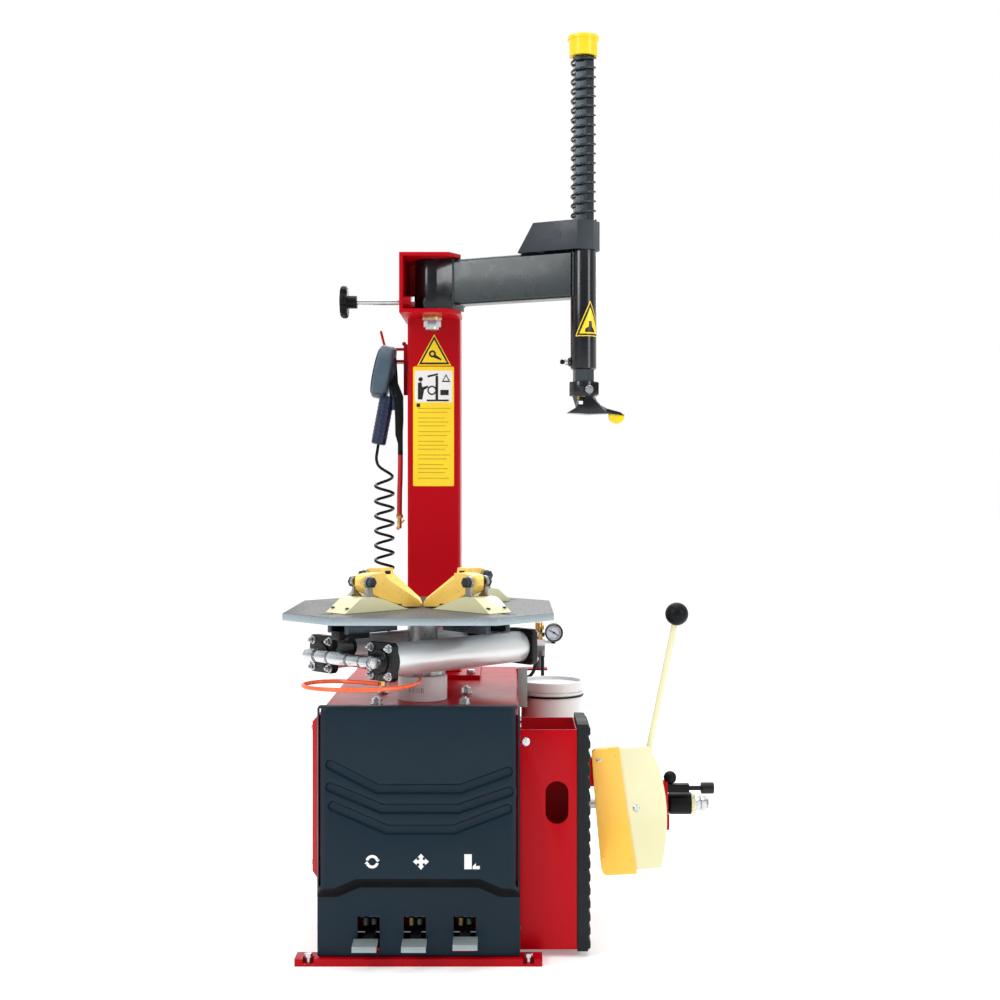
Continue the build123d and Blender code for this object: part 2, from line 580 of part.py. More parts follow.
def arm_pivot_pin():
    pin = post(0, PIVOT_Y, BRACKET_LOW - 30, BRACKET_TOP, PIN_R)
    head = post(0, PIVOT_Y, BRACKET_TOP, BRACKET_TOP + 7, 24)
    washer = post(0, PIVOT_Y, BRACKET_LOW - 8, BRACKET_LOW, 22) - post(0, PIVOT_Y, 1200, 1300, PIN_R)
    nut = Pos(0, PIVOT_Y, 0) * hexagon(27 * 1.24, BRACKET_LOW - 24, BRACKET_LOW - 8)
    nut -= post(0, PIVOT_Y, 1200, 1300, PIN_R)
    return solids(pin + head, washer, nut)


def swing_arm():
    """The box beam welded between the hinge tube and the guide tube of the hexagonal shaft."""
    half = ARM_THICK / 2
    beam = block(20, ARM_REACH - 18, -half, half, ARM_LOW, ARM_HIGH)
    beam = fillet(beam.edges().filter_by(Axis.X), 8)
    beam -= block(30, ARM_REACH - 32, -half + 5, half - 5, ARM_LOW + 5, ARM_HIGH - 5)
    low, high = BRACKET_LOW + BRACKET_SHEET + 1, BRACKET_TOP - BRACKET_SHEET - 1
    hinge = post(0, 0, low, high, 38) + block(20, 66, -half - 2, half + 2, low, high)
    guide = post(ARM_REACH, 0, TUBE_LOW, TUBE_HIGH, TUBE_R)
    guide = chamfer(guide.edges().group_by(Axis.Z)[0], 3)
    whole = beam + hinge + guide
    whole -= post(0, 0, BRACKET_LOW, BRACKET_TOP, PIN_R + RUN_GAP)
    whole -= post(ARM_REACH, 0, TUBE_LOW - 1, TUBE_HIGH + 1, TUBE_BORE)
    return arm_place() * whole


def lock_cover():
    """The plastic housing over the shaft lock, with a sloped tail and a bevelled nose."""
    outline = [(230, -36), (371, -36), (397, -11), (397, 22), (384, 36), (230, 36)]
    box = upright_prism(outline, ARM_HIGH + 0.5, LOCK_TOP)
    wedge = Plane(origin=(0, 40, 0), x_dir=(1, 0, 0), z_dir=(0, -1, 0))
    slope = [(225, ARM_HIGH), (230, ARM_HIGH), (268, LOCK_TOP), (268, LOCK_TOP + 5), (225, LOCK_TOP + 5)]
    box -= extrude(wedge * make_face(Polyline(*slope, close=True)), 80)
    inner = upright_prism([(250, -32), (369, -32), (393, -9), (393, 20), (382, 32), (250, 32)],
                          ARM_HIGH - 1, LOCK_TOP - 4)
    tail = [(240, ARM_HIGH - 2), (262, ARM_HIGH - 2), (282, LOCK_TOP), (240, LOCK_TOP)]
    inner -= extrude(wedge * make_face(Polyline(*tail, close=True)), 80)
    box -= inner
    box -= post(ARM_REACH, 0, LOCK_TOP - 10, LOCK_TOP + 1, 25)
    return arm_place() * box


def hex_shaft():
    bar = hexagon(HEX_FLATS, HEX_LOW, HEX_HIGH)
    bar = bar & post(0, 0, HEX_LOW - 1, HEX_HIGH + 1, 22.9)
    return hex_place() * Rot(0, 0, HEX_TURN - ARM_ANGLE) * bar


def return_spring():
    low = LOCK_TOP + SPRING_WIRE / 2 + 0.3
    height = SPRING_TOP - SPRING_WIRE / 2 - low
    path = Helix(height / SPRING_TURNS, height, SPRING_R)
    start = Plane(origin=path @ 0, z_dir=path % 0)
    coil = sweep(start * Circle(SPRING_WIRE / 2), path=path, is_frenet=True)
    return hex_place() * Pos(0, 0, low) * coil


def shaft_cap():
    cap = post(0, 0, CAP_LOW, CAP_HIGH - 9, 30.5) + post(0, 0, CAP_HIGH - 9, CAP_HIGH, 34)
    cap = fillet(cap.edges().group_by(Axis.Z)[-1], 5)
    cap = hex_place() * cap
    return cap - hex_shaft()


def mount_head():
    """The clamp collar on the shaft, its neck, and the hooked demount head below it."""
    collar = post(0, 0, 1095, 1125, 30) + block(12, 31, -26, 26, 1097, 1123)
    neck = Pos(0, 0, 1070) * Cone(16, 24, 25, align=BASE)
    beak = [(23, 1093), (28, 1083), (35, 1075.5), (50, 1068), (78, 1061), (86, 1053.5), (53, 1057.8),
            (9, 1056), (-36, 1059), (-17, 1070), (-15, 1085), (-12, 1093)]
    hook = profile_prism(beak, -30, 30)
    plan = [(-37, -7), (-30, -22), (-10, -30), (14, -30), (48, -16), (88, -9), (88, 9), (48, 16),
            (14, 30), (-10, 30), (-30, 22), (-37, 7)]
    hook = hook & upright_prism(plan, 1000, 1200)
    head = hex_place() * Rot(0, 0, -ARM_ANGLE) * (collar + neck + hook)
    return head - hex_shaft()


def head_insert():
    """The half-round plastic pad under the tip of the demount head."""
    pad = rod((70, -9, 1054), (70, 9, 1054), 17) - block(50, 90, -20, 20, 1057.4, 1080)
    pad = fillet(pad.edges().filter_by(GeomType.CIRCLE), 2)
    pad = hex_place() * Rot(0, 0, -ARM_ANGLE) * pad - mount_head()
    return pad.solids().sort_by(Axis.Z)[0]


def handwheel_screw():
    """The arm's stop screw and its star-shaped hand wheel."""
    screw_bar = rod((-172, STOP_Y, STOP_Z), (-38, STOP_Y, STOP_Z), STOP_R)
    wheel = rod((-198, STOP_Y, STOP_Z), (-182, STOP_Y, STOP_Z), 36)
    wheel = fillet(wheel.edges(), 6)
    for index in range(6):
        angle = radians(30 + 60 * index)
        y, z = STOP_Y + 40 * cos(angle), STOP_Z + 40 * sin(angle)
        wheel -= rod((-200, y, z), (-180, y, z), 12)
    wheel += rod((-183, STOP_Y, STOP_Z), (-162, STOP_Y, STOP_Z), 14)
    return solids(screw_bar, wheel - screw_bar)


# ---- bead breaker ----
def bead_arm_hinge():
    x, y = BEAD_PIVOT
    gap = 0.5
    low, high = BEAD_ARM_LOW - gap, BEAD_ARM_HIGH + gap
    outline = [(CAB_HALF, y - 32), (x, y - 26), (x + 24, y - 10), (x + 24, y + 10), (x, y + 26),
               (CAB_HALF, y + 32)]
    lugs = upright_prism(outline, low - 10, low) + upright_prism(outline, high, high + 10)
    lugs += block(CAB_HALF, CAB_HALF + 8, y - 32, y + 32, low - 30, high + 30)
    pin = post(x, y, low - 18, high + 18, 12) + post(x, y, high + 10, high + 18, 18)
    lugs -= post(x, y, low - 40, high + 40, 12)
    return solids(lugs, pin)


def bead_arm():
    """A bent flat arm: a knuckle on the hinge pin, a slot for the rod, and a sleeve for the blade."""
    x, y = BEAD_PIVOT
    bx, by = BLADE_PIVOT
    path = FilletPolyline((x, y), (400, 290), (487, 150), (487, -120), (bx, by), radius=60)
    strip = trace(path, BEAD_ARM_THICK)
    arm = Pos(0, 0, BEAD_ARM_LOW) * extrude(strip, BEAD_ARM_HIGH - BEAD_ARM_LOW)
    arm += post(x, y, BEAD_ARM_LOW, BEAD_ARM_HIGH, 22)
    arm -= post(bx, by, BEAD_ARM_LOW - 1, BEAD_ARM_HIGH + 1, 24)
    arm -= block(bx - 30, bx + 10, by - 30, by + 4, BEAD_ARM_LOW - 1, BEAD_ARM_HIGH + 1)
    arm += post(bx, by, 226, 256, 16) + block(bx, bx + 26, by, by + 30, 226, 256)
    arm -= post(x, y, BEAD_ARM_LOW - 1, BEAD_ARM_HIGH + 1, 12 + RUN_GAP)
    arm -= post(bx, by, 200, 300, 8 + RUN_GAP)
    arm -= block(470, 510, ROD_Y - 26, ROD_Y + 26, ROD_Z - 14, ROD_Z + 14)
    holder = block(496, 545, PLUNGER_Y - 9, PLUNGER_Y + 9, 269, 286) + block(487, 500, -72, -48, 266, 292)
    arm = arm + holder - rod((470, PLUNGER_Y, PLUNGER_Z), (560, PLUNGER_Y, PLUNGER_Z), 5 + RUN_GAP)
    ball = Pos(506, PLUNGER_Y, 299) * Sphere(13.5) - arm
    return solids(arm, ball)


def shell_band(thickness, y_mid):
    """A curved sheet whose hollow side faces the operator: a slice of a wide tube along X."""
    centre = (y_mid - BLADE_CURVE, BLADE_MID_Z)
    outer = rod((300, *centre), (520, *centre), BLADE_CURVE + thickness / 2)
    inner = rod((299, *centre), (521, *centre), BLADE_CURVE - thickness / 2)
    return outer - inner


def bead_blade():
    line = Line((345, 398), (442, 402)) + ThreePointArc((442, 402), (479, 235), (466, 167))
    line += Line((466, 167), (368, 160)) + Line((368, 160), (345, 398))
    plane = Plane(origin=(0, -150, 0), x_dir=(1, 0, 0), z_dir=(0, -1, 0))
    outline = extrude(plane * make_face(line), 200)
    blade = outline & shell_band(BLADE_THICK, BLADE_MID_Y)
    bx, by = BLADE_PIVOT
    for root, z0, z1 in ((-250, 216, 225.5), (-244, 256.5, 266)):
        blade += block(bx - 13, bx + 13, root, by, z0, z1) + post(bx, by, z0, z1, 13)
    blade -= post(bx, by, 200, 300, 8)
    pin = post(bx, by, 212, 270, 8)
    return solids(blade, pin)


def blade_guard():
    corners = [(330.5, 396), (383, 403), (418, 158), (351, 155)]
    plane = Plane(origin=(0, -150, 0), x_dir=(1, 0, 0), z_dir=(0, -1, 0))
    face = make_face(Polyline(*corners, close=True))
    face = fillet(face.vertices().sort_by(Axis.X)[:2], 10)
    guard = extrude(plane * face, 200) & shell_band(14, BLADE_MID_Y)
    for blade in bead_blade():
        guard -= blade
    return guard


LEVER_FOOT, LEVER_BEND, LEVER_TOP = (438, -246, 340), (445, -252, 400), (497, -262, 657)


def blade_lever():
    """A bent rod up from the blade, and the ball knob on its end."""
    stem = rod(LEVER_FOOT, LEVER_BEND, 6.5) + rod(LEVER_BEND, LEVER_TOP, 6) + Pos(*LEVER_BEND) * Sphere(6.5)
    ball = Pos(*LEVER_TOP) * Sphere(22.5)
    stem = (stem - ball - bead_blade()[0]).solids().sort_by(SortBy.VOLUME)[-1]
    return solids(stem, ball)


def bead_plunger():
    """The pull pin that sets the blade's reach, with its knurled knob."""
    pin = rod((484, PLUNGER_Y, PLUNGER_Z), (572, PLUNGER_Y, PLUNGER_Z), 5)
    knob = rod((570, PLUNGER_Y, PLUNGER_Z), (597, PLUNGER_Y, PLUNGER_Z), 12)
    return pin + chamfer(knob.edges(), 1.5)


def bead_cylinder():
    left, right = BARREL_LEFT, BARREL_RIGHT
    barrel = rod((left, ROD_Y, ROD_Z), (right, ROD_Y, ROD_Z), BARREL_R)
    barrel -= rod((left + 10, ROD_Y, ROD_Z), (right - 12, ROD_Y, ROD_Z), BARREL_R - 5)
    barrel -= rod((right - 13, ROD_Y, ROD_Z), (right + 1, ROD_Y, ROD_Z), ROD_R + RUN_GAP)
    barrel += post(TRUNNION_X, ROD_Y, ROD_Z + BARREL_R - 4, 350, 12)
    barrel += post(TRUNNION_X, ROD_Y, 120, ROD_Z - BARREL_R + 4, 12)
    return barrel


def bead_rod():
    """The piston and rod, the domed sleeve that pulls on the arm, its washer and lock nuts."""
    stem = rod((-128, ROD_Y, ROD_Z), (588, ROD_Y, ROD_Z), ROD_R)
    piston = rod((-138, ROD_Y, ROD_Z), (-120, ROD_Y, ROD_Z), BARREL_R - 5.3)
    hole = rod((480, ROD_Y, ROD_Z), (600, ROD_Y, ROD_Z), ROD_R)
    sleeve = rod((503, ROD_Y, ROD_Z), (552, ROD_Y, ROD_Z), 23)
    sleeve = fillet(sleeve.edges().sort_by(Axis.X)[0], 8) - hole
    washer = rod((552, ROD_Y, ROD_Z), (560, ROD_Y, ROD_Z), 21) - hole
    nuts = []
    for x in (560, 572):
        nuts.append(Pos(x, ROD_Y, ROD_Z) * Rot(0, 90, 0) * hexagon(29, 0, 11) - hole)
    return solids(stem + piston, sleeve, washer, *nuts)


# ---- accessories ----
def accessory_brackets():
    """Hanger of the inflator on the column, hoop of the bucket, and shelf of the air regulator."""
    hanger = block(-122, -COL_HALF, 335, 347, 1222, 1228) + block(-76, -COL_HALF, 335, 341, 1117, 1237)
    hanger += rod((-119, 341, 1225), (-130, 341, 1268), 3) + Pos(-75, 338, 1238) * Sphere(5)
    rest = block(-100, -62, 286, 336, 1190, 1196) - inflator_gun()[0]
    hanger += rest.solids().sort_by(Axis.X)[-1]
    hoop = post(BUCKET_X, BUCKET_Y, 453.5, 457.5, BUCKET_R + 4)
    hoop += block(CAB_HALF + 0.5, 216, 3, 12, 453.5, 457.5)
    hoop -= post(BUCKET_X, BUCKET_Y, 449, 460, BUCKET_R)
    plate = block(CAB_HALF, 210, 0, 3, 436, 519)
    shelf = block(CAB_HALF, REG_X + 20, REG_Y - 16, REG_Y + 22, 470, 474)
    shelf += block(CAB_HALF, CAB_HALF + 4, REG_Y - 16, REG_Y + 22, 420, 474)
    return solids(hanger, hoop, plate, shelf)


def air_regulator():
    """Filter bowl, regulator body, brass elbows and the threaded air inlet."""
    x, y = REG_X, REG_Y
    bowl = post(x, y, 474, 502, 13)
    body = block(x - 16, x + 14, y - 16, y + 16, 502, 528)
    cap = block(x - 13, x + 15, y - 13, y + 13, 528, 542)
    brass = post(x, y, 542, 582, 9) + Pos(x, y, 548) * hexagon(24, 0, 10)
    brass += rod((x, y, 571), (x + 12, y, 571), 7)
    stem = rod((x + 15, y - 8, 535), (x + 36, y - 8, 537), 4) - pressure_gauge()
    for dx, z in HOSE_ELBOWS:
        elbow = rod((x + dx, y - 16, z + 8), (x + dx, y - 29, z + 8), 4)
        stem += elbow + post(x + dx, y - 27, z, z + 13, 5.5)
    inlet = rod((x, y + 16, 515), (x, y + 40, 515), 12) - rod((x, y + 16, 515), (x, y + 41, 515), 6.5)
    return solids(bowl, body, cap, brass, stem, inlet)


def pressure_gauge():
    x, y, z = GAUGE
    case = rod((x, y + 12, z), (x, y - 14, z), 21)
    case = fillet(case.edges(), 2)
    case -= rod((x, y - 8, z), (x, y - 15, z), 18)
    case += post(x - 1, y - 2, z - 26, z - 18, 5)
    return case


def gauge_needle():
    x, y, z = GAUGE
    hub = rod((x, y - 9, z), (x, y - 11, z), 2.5)
    hand = Pos(x, y - 10, z) * Rot(0, 30, 0) * Box(24, 1, 1.6)
    return hub + hand


AIR_HOSES = [
    [(233, 333, 504), (233, 333, 488), (230, 333, 470), (220, 333, 457), (205, 333, 453), (190, 333, 453)],
    [(250, 333, 506), (250, 333, 480), (250, 331, 452), (243, 330, 426), (225, 330, 410), (206, 330, 406),
     (190, 330, 406)],
]


def air_hoses():
    return solids(*[tube_along(route, 4) for route in AIR_HOSES])


def bucket():
    """A small lidded pail of mounting soap, hung by its rim in the hoop."""
    x, y = BUCKET_X, BUCKET_Y
    pail = post(x, y, BUCKET_LOW, BUCKET_HIGH, BUCKET_R) + post(x, y, 458, 464, BUCKET_R + 2.5)
    pail -= post(x, y, BUCKET_LOW + 3, BUCKET_HIGH + 1, BUCKET_R - 2.5)
    lid = post(x, y, BUCKET_HIGH - 8, BUCKET_HIGH + 12, BUCKET_R + 3.5)
    lid -= post(x, y, BUCKET_HIGH - 9, BUCKET_HIGH, BUCKET_R)
    lid -= post(x, y, BUCKET_HIGH + 5, BUCKET_HIGH + 13, BUCKET_R - 3)
    return solids(pail, lid)


def trigger_pin(radius):
    x, z = TRIGGER_HINGE
    return rod((x, GUN_Y, z), (x, GUN_Y - 27, z), radius)


def inflator_gun():
    """The round gauge of the inflator in its rubber boot, over a round grip, with the valve behind."""
    boot = Pos(GUN_X, GUN_Y, 1167) * Rot(0, 12, 0) * Rot(0, 90, 0) * Cylinder(62, 36)
    boot = fillet(boot.edges(), 8)
    grip = rod((-110, GUN_Y, 1112), (-131, GUN_Y, 1000), 17)
    grip = fillet(grip.edges().group_by(Axis.Z)[0], 5)
    valve = rod((-100, GUN_Y, 1200), (-92, GUN_Y, 1080), 11)
    neck = rod((-96, GUN_Y, 1100), (-116, GUN_Y, 1100), 10)
    spout = rod((-90, GUN_Y, 1096), (-81, GUN_Y, 1078), 6)
    hose_tail = rod((-80, GUN_Y, 1082), (-80, GUN_Y, 976), 6)
    hinge = trigger_pin(2.5)
    return solids(boot + grip + valve + neck + spout + hose_tail + hinge)


def inflator_trigger():
    lever = [(-101, 1138), (-92, 1161), (-83, 1138), (-72, 1110), (-71.7, 1057), (-74, 1011), (-75, 988),
             (-83, 997), (-90, 1022), (-91, 1068), (-93, 1103)]
    return profile_prism(lever, GUN_Y - 24, GUN_Y - 12) - trigger_pin(2.5 + RUN_GAP)


RED_HOSE = [(-80, GUN_Y, 976), (-80, GUN_Y, 932), (-82, GUN_Y, 884), (-82, GUN_Y, 838)]


def red_hose():
    return tube_along(RED_HOSE, 6)


def air_chuck():
    body = rod((-82, GUN_Y, 838), (-82, GUN_Y, 806), 5)
    body += Pos(-82, GUN_Y, 830) * hexagon(14, 0, 8)
    body += rod((-82, GUN_Y, 812), (-87, GUN_Y, 804), 4)
    body += rod((-82, GUN_Y, 814), (-71, GUN_Y, 826), 2)
    return body


def curly_hose():
    """The coiled hose as a plain stub, one fat tube and a plain tail, meeting face to face."""
    stub = rod((CURL_X - 14, GUN_Y, CURL_TOP), (CURL_X - 14, GUN_Y, 1003), CURL_WIRE) - inflator_gun()[0]
    coil = post(CURL_X, GUN_Y, CURL_LOW, CURL_TOP, CURL_R)
    tail = rod((CURL_X, 266, CURL_LOW), (CURL_X, 266, CAB_TOP + 16), CURL_WIRE)
    return solids(stub, coil, tail)


PARTS = {
    "base_rails": base_rails,
    "frame_bolts": frame_bolts,
    "cabinet": cabinet,
    "left_side_panel": left_side_panel,
    "front_cover": front_cover,
    "side_box": side_box,
    "rubber_pad": rubber_pad,
    "gearbox_housing": gearbox_housing,
    "hub_collar": hub_collar,
    "motor": motor,
    "gearbox_pulley": gearbox_pulley,
    "motor_pulley": motor_pulley,
    "drive_belt": drive_belt,
    "inner_frame": inner_frame,
    "pedal_rotate": lambda: pedal(0),
    "pedal_clamp": lambda: pedal(1),
    "pedal_bead": lambda: pedal(2),
    "turntable_shaft": turntable_shaft,
    "turntable_plate": turntable_plate,
    "clamp_barrels": clamp_barrels,
    "clamp_heads": clamp_heads,
    "clamp_rods": clamp_rods,
    "orange_hose": orange_hose,
    "column": column,
    "arm_pivot_pin": arm_pivot_pin,
    "swing_arm": swing_arm,
    "lock_cover": lock_cover,
    "hex_shaft": hex_shaft,
    "return_spring": return_spring,
    "shaft_cap": shaft_cap,
    "mount_head": mount_head,
    "head_insert": head_insert,
    "handwheel_screw": handwheel_screw,
    "bead_arm_hinge": bead_arm_hinge,
    "bead_arm": bead_arm,
    "bead_blade": bead_blade,
    "blade_guard": blade_guard,
    "blade_lever": blade_lever,
    "bead_plunger": bead_plunger,
    "bead_cylinder": bead_cylinder,
    "bead_rod": bead_rod,
    "accessory_brackets": accessory_brackets,
    "air_regulator": air_regulator,
    "pressure_gauge": pressure_gauge,
    "gauge_needle": gauge_needle,
    "air_hoses": air_hoses,
    "bucket": bucket,
    "inflator_gun": inflator_gun,
    "inflator_trigger": inflator_trigger,
    "red_hose": red_hose,
    "air_chuck": air_chuck,
    "curly_hose": curly_hose,
}
for number, angle in enumerate(JAW_ANGLES, start=1):
    PARTS[f"jaw_slide_{number}"] = lambda angle=angle: jaw_slide(angle)
    PARTS[f"jaw_{number}"] = lambda angle=angle: jaw(angle)


def main():
    os.makedirs("parts", exist_ok=True)
    for name, make in PARTS.items():
        made = make()
        pieces = made if isinstance(made, list) else made.solids()
        shape = pieces[0] if len(pieces) == 1 else Compound(children=list(pieces))
        export_step(shape, f"parts/{name}.step")


main()
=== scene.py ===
import bpy
import bmesh
import json
from math import cos, hypot, pi, radians, sin
from mathutils import Matrix, Vector


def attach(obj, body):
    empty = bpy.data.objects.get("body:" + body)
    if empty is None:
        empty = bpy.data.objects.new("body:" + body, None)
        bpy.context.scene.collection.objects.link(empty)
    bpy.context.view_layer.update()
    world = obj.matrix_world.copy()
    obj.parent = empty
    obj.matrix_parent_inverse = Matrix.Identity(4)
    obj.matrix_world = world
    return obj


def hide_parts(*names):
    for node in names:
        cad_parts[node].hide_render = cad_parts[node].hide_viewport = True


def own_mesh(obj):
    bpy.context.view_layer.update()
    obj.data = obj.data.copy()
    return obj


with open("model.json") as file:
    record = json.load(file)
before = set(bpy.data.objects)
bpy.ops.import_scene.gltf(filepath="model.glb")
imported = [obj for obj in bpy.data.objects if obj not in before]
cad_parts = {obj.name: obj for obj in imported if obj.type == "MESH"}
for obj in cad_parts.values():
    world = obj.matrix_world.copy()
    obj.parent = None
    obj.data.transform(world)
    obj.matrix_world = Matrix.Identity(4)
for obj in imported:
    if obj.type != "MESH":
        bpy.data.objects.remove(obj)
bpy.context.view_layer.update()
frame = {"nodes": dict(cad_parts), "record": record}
NODES = frame["nodes"]
BODY_OF = {n: b for b, members in frame["record"]["behaviour"]["bodies"].items() for n in members}
SCENE = bpy.context.scene

# Places shared with the CAD model, in metres.
TABLE = Vector((-0.005, -0.120, 0))
PIVOT_Y = 0.165
ARM_TURN = radians(-27)
ARM_REACH = 0.369
HEX_X, HEX_Y = ARM_REACH * cos(ARM_TURN), PIVOT_Y + ARM_REACH * sin(ARM_TURN)
CYLINDER_Z, CYLINDER_SIDE, TIE_BOLT_HALF = 0.571, 0.091, 0.0265
ROD_Y, ROD_Z = -0.040, 0.241
GUN_Y = 0.285
COVER_Y, COLUMN_Y = -0.3600, 0.2300
PEDAL_X = (-0.095, -0.0075, 0.087)
JAW_ANGLES = (45, 135, 225, 315)
RIGHT, UP, FRONT = (1, 0, 0), (0, 0, 1), (0, -1, 0)


# ---------------------------------------------------------------- materials
def new_node(tree, kind, **values):
    node = tree.nodes.new(kind)
    for key, value in values.items():
        setattr(node, key, value)
    return node


def map_range(tree, source, low, high, out_low, out_high):
    node = new_node(tree, "ShaderNodeMapRange")
    for name, value in (("From Min", low), ("From Max", high), ("To Min", out_low), ("To Max", out_high)):
        node.inputs[name].default_value = value
    tree.links.new(source, node.inputs["Value"])
    return node.outputs["Result"]


def noise(tree, coords, scale, detail=3.0, stretch=None, roughness=0.55):
    if stretch is not None:
        mapping = new_node(tree, "ShaderNodeMapping")
        mapping.inputs["Scale"].default_value = stretch
        tree.links.new(coords, mapping.inputs["Vector"])
        coords = mapping.outputs["Vector"]
    node = new_node(tree, "ShaderNodeTexNoise")
    node.inputs["Scale"].default_value = scale
    node.inputs["Detail"].default_value = detail
    node.inputs["Roughness"].default_value = roughness
    tree.links.new(coords, node.inputs["Vector"])
    return node.outputs["Fac"]


def mix_color(tree, factor, first, second):
    node = new_node(tree, "ShaderNodeMix", data_type="RGBA")
    tree.links.new(factor, node.inputs["Factor"])
    for socket, value in ((node.inputs[6], first), (node.inputs[7], second)):
        if isinstance(value, tuple):
            socket.default_value = (*value, 1)
        else:
            tree.links.new(value, socket)
    return node.outputs[2]


def multiply(tree, a, b):
    node = new_node(tree, "ShaderNodeMath", operation="MULTIPLY")
    tree.links.new(a, node.inputs[0])
    if isinstance(b, (int, float)):
        node.inputs[1].default_value = b
    else:
        tree.links.new(b, node.inputs[1])
    return node.outputs[0]


def edge_mask(tree, width):
    """1 on sharp edges and 0 on flats: how far a rounded normal leans from the true one."""
    bevel = new_node(tree, "ShaderNodeBevel", samples=4)
    bevel.inputs["Radius"].default_value = width
    geometry = new_node(tree, "ShaderNodeNewGeometry")
    dot = new_node(tree, "ShaderNodeVectorMath", operation="DOT_PRODUCT")
    tree.links.new(bevel.outputs["Normal"], dot.inputs[0])
    tree.links.new(geometry.outputs["Normal"], dot.inputs[1])
    return map_range(tree, dot.outputs["Value"], 0.97, 0.80, 0.0, 1.0)


def finish_material(name, color, rough, metal=0.0, coat=0.0, coat_rough=0.08, second=None, patch=5.0,
                    patch_amount=0.5, spread=0.08, grain=900.0, grain_depth=0.00006, stretch=None,
                    wear=None, wear_width=0.0012, wear_amount=0.6, spots=None, specular=0.5):
    """A surface with colour patches, fine grain in its bump and roughness, and optional worn edges."""
    material = bpy.data.materials.new(name)
    material.use_nodes = True
    tree = material.node_tree
    shader = tree.nodes["Principled BSDF"]
    coords = new_node(tree, "ShaderNodeTexCoord").outputs["Object"]
    second = second or tuple(c * 0.82 for c in color)
    patches = noise(tree, coords, patch, 4.0)
    colour = mix_color(tree, map_range(tree, patches, 0.35, 0.68, 0.0, patch_amount), color, second)
    fine = noise(tree, coords, grain, 2.0, stretch)
    rough_out = map_range(tree, noise(tree, coords, patch * 6, 4.0, stretch), 0.3, 0.7, rough - spread,
                          rough + spread)
    if spots:
        specks = map_range(tree, noise(tree, coords, spots[1], 1.0), 0.66, 0.70, 0.0, spots[2])
        colour = mix_color(tree, specks, colour, spots[0])
    if wear:
        chips = map_range(tree, noise(tree, coords, 120.0, 5.0), 0.42, 0.62, 0.0, wear_amount)
        mask = multiply(tree, edge_mask(tree, wear_width), chips)
        colour = mix_color(tree, mask, colour, wear)
    tree.links.new(colour, shader.inputs["Base Color"])
    tree.links.new(rough_out, shader.inputs["Roughness"])
    shader.inputs["Metallic"].default_value = metal
    shader.inputs["Specular IOR Level"].default_value = specular
    shader.inputs["Coat Weight"].default_value = coat
    shader.inputs["Coat Roughness"].default_value = coat_rough
    bump = new_node(tree, "ShaderNodeBump")
    bump.inputs["Strength"].default_value = 1.0
    bump.inputs["Distance"].default_value = grain_depth
    tree.links.new(fine, bump.inputs["Height"])
    tree.links.new(bump.outputs["Normal"], shader.inputs["Normal"])
    return material


RED = finish_material("red_enamel", (0.43, 0.001, 0.007), 0.34, coat=0.05, coat_rough=0.08,
                      second=(0.39, 0.002, 0.006), patch=2.5, grain=140.0, grain_depth=0.00003,
                      spread=0.04, wear=(0.16, 0.06, 0.05), wear_amount=0.2, specular=0.10)
DARK_TEAL = finish_material("dark_satin_paint", (0.007, 0.018, 0.022), 0.30, coat=0.25, coat_rough=0.12,
                            second=(0.004, 0.012, 0.015), patch=4.0, grain=300.0, wear=(0.20, 0.22, 0.22),
                            wear_amount=0.35)
NEAR_BLACK = finish_material("near_black_paint", (0.003, 0.005, 0.008), 0.24, coat=0.4, coat_rough=0.10,
                             grain=350.0, wear=(0.15, 0.15, 0.15), wear_amount=0.25, specular=0.4)
LOCK = finish_material("lock_plastic", (0.012, 0.020, 0.030), 0.42, second=(0.008, 0.014, 0.022),
                       patch=6.0, grain=1200.0, grain_depth=0.00012)
SLATE = finish_material("slate_plastic", (0.003, 0.015, 0.027), 0.38, second=(0.002, 0.012, 0.022),
                        patch=2.5, grain=1500.0, grain_depth=0.00010, spread=0.06, specular=0.20,
                        coat=0.0, coat_rough=0.25)
CREAM = finish_material("cream_paint", (0.76, 0.74, 0.46), 0.36, coat=0.3, second=(0.70, 0.68, 0.42),
                        patch=6.0, grain=350.0, wear=(0.35, 0.30, 0.22), wear_amount=0.35)
JAW = finish_material("jaw_yellow", (1.0, 0.68, 0.16), 0.42, second=(0.96, 0.60, 0.11), patch=14.0,
                      grain=700.0, grain_depth=0.00012, wear=(0.35, 0.20, 0.06), wear_amount=0.5,
                      spots=((0.45, 0.26, 0.07), 160.0, 0.3))
GUARD = finish_material("guard_yellow", (1.0, 0.54, 0.07), 0.40, second=(0.94, 0.47, 0.05), patch=8.0,
                        grain=900.0, grain_depth=0.00010, wear=(0.55, 0.28, 0.05), wear_amount=0.4)
YELLOW = finish_material("cap_yellow", (0.88, 0.62, 0.004), 0.35, second=(0.80, 0.54, 0.003), patch=9.0,
                         grain=900.0, grain_depth=0.00008, coat=0.2, coat_rough=0.2)
RUBBER = finish_material("black_rubber", (0.005, 0.009, 0.009), 0.60, second=(0.010, 0.015, 0.014),
                         patch=7.0, grain=1100.0, grain_depth=0.00022, spread=0.1, specular=0.25,
                         wear=(0.04, 0.05, 0.05), wear_amount=0.8, wear_width=0.002)
BLACK = finish_material("black_plastic", (0.005, 0.006, 0.007), 0.38, second=(0.009, 0.010, 0.011),
                        patch=20.0, grain=1400.0, grain_depth=0.00008, specular=0.12)
BLACK_METAL = finish_material("black_oxide", (0.006, 0.007, 0.008), 0.34, metal=0.3, specular=0.4,
                              second=(0.012, 0.012, 0.013), patch=18.0, grain=800.0,
                              wear=(0.20, 0.20, 0.20), wear_amount=0.45)
BLUE = finish_material("dark_blue_plastic", (0.006, 0.016, 0.058), 0.42, second=(0.004, 0.011, 0.04),
                       patch=15.0, grain=1300.0, grain_depth=0.00012)
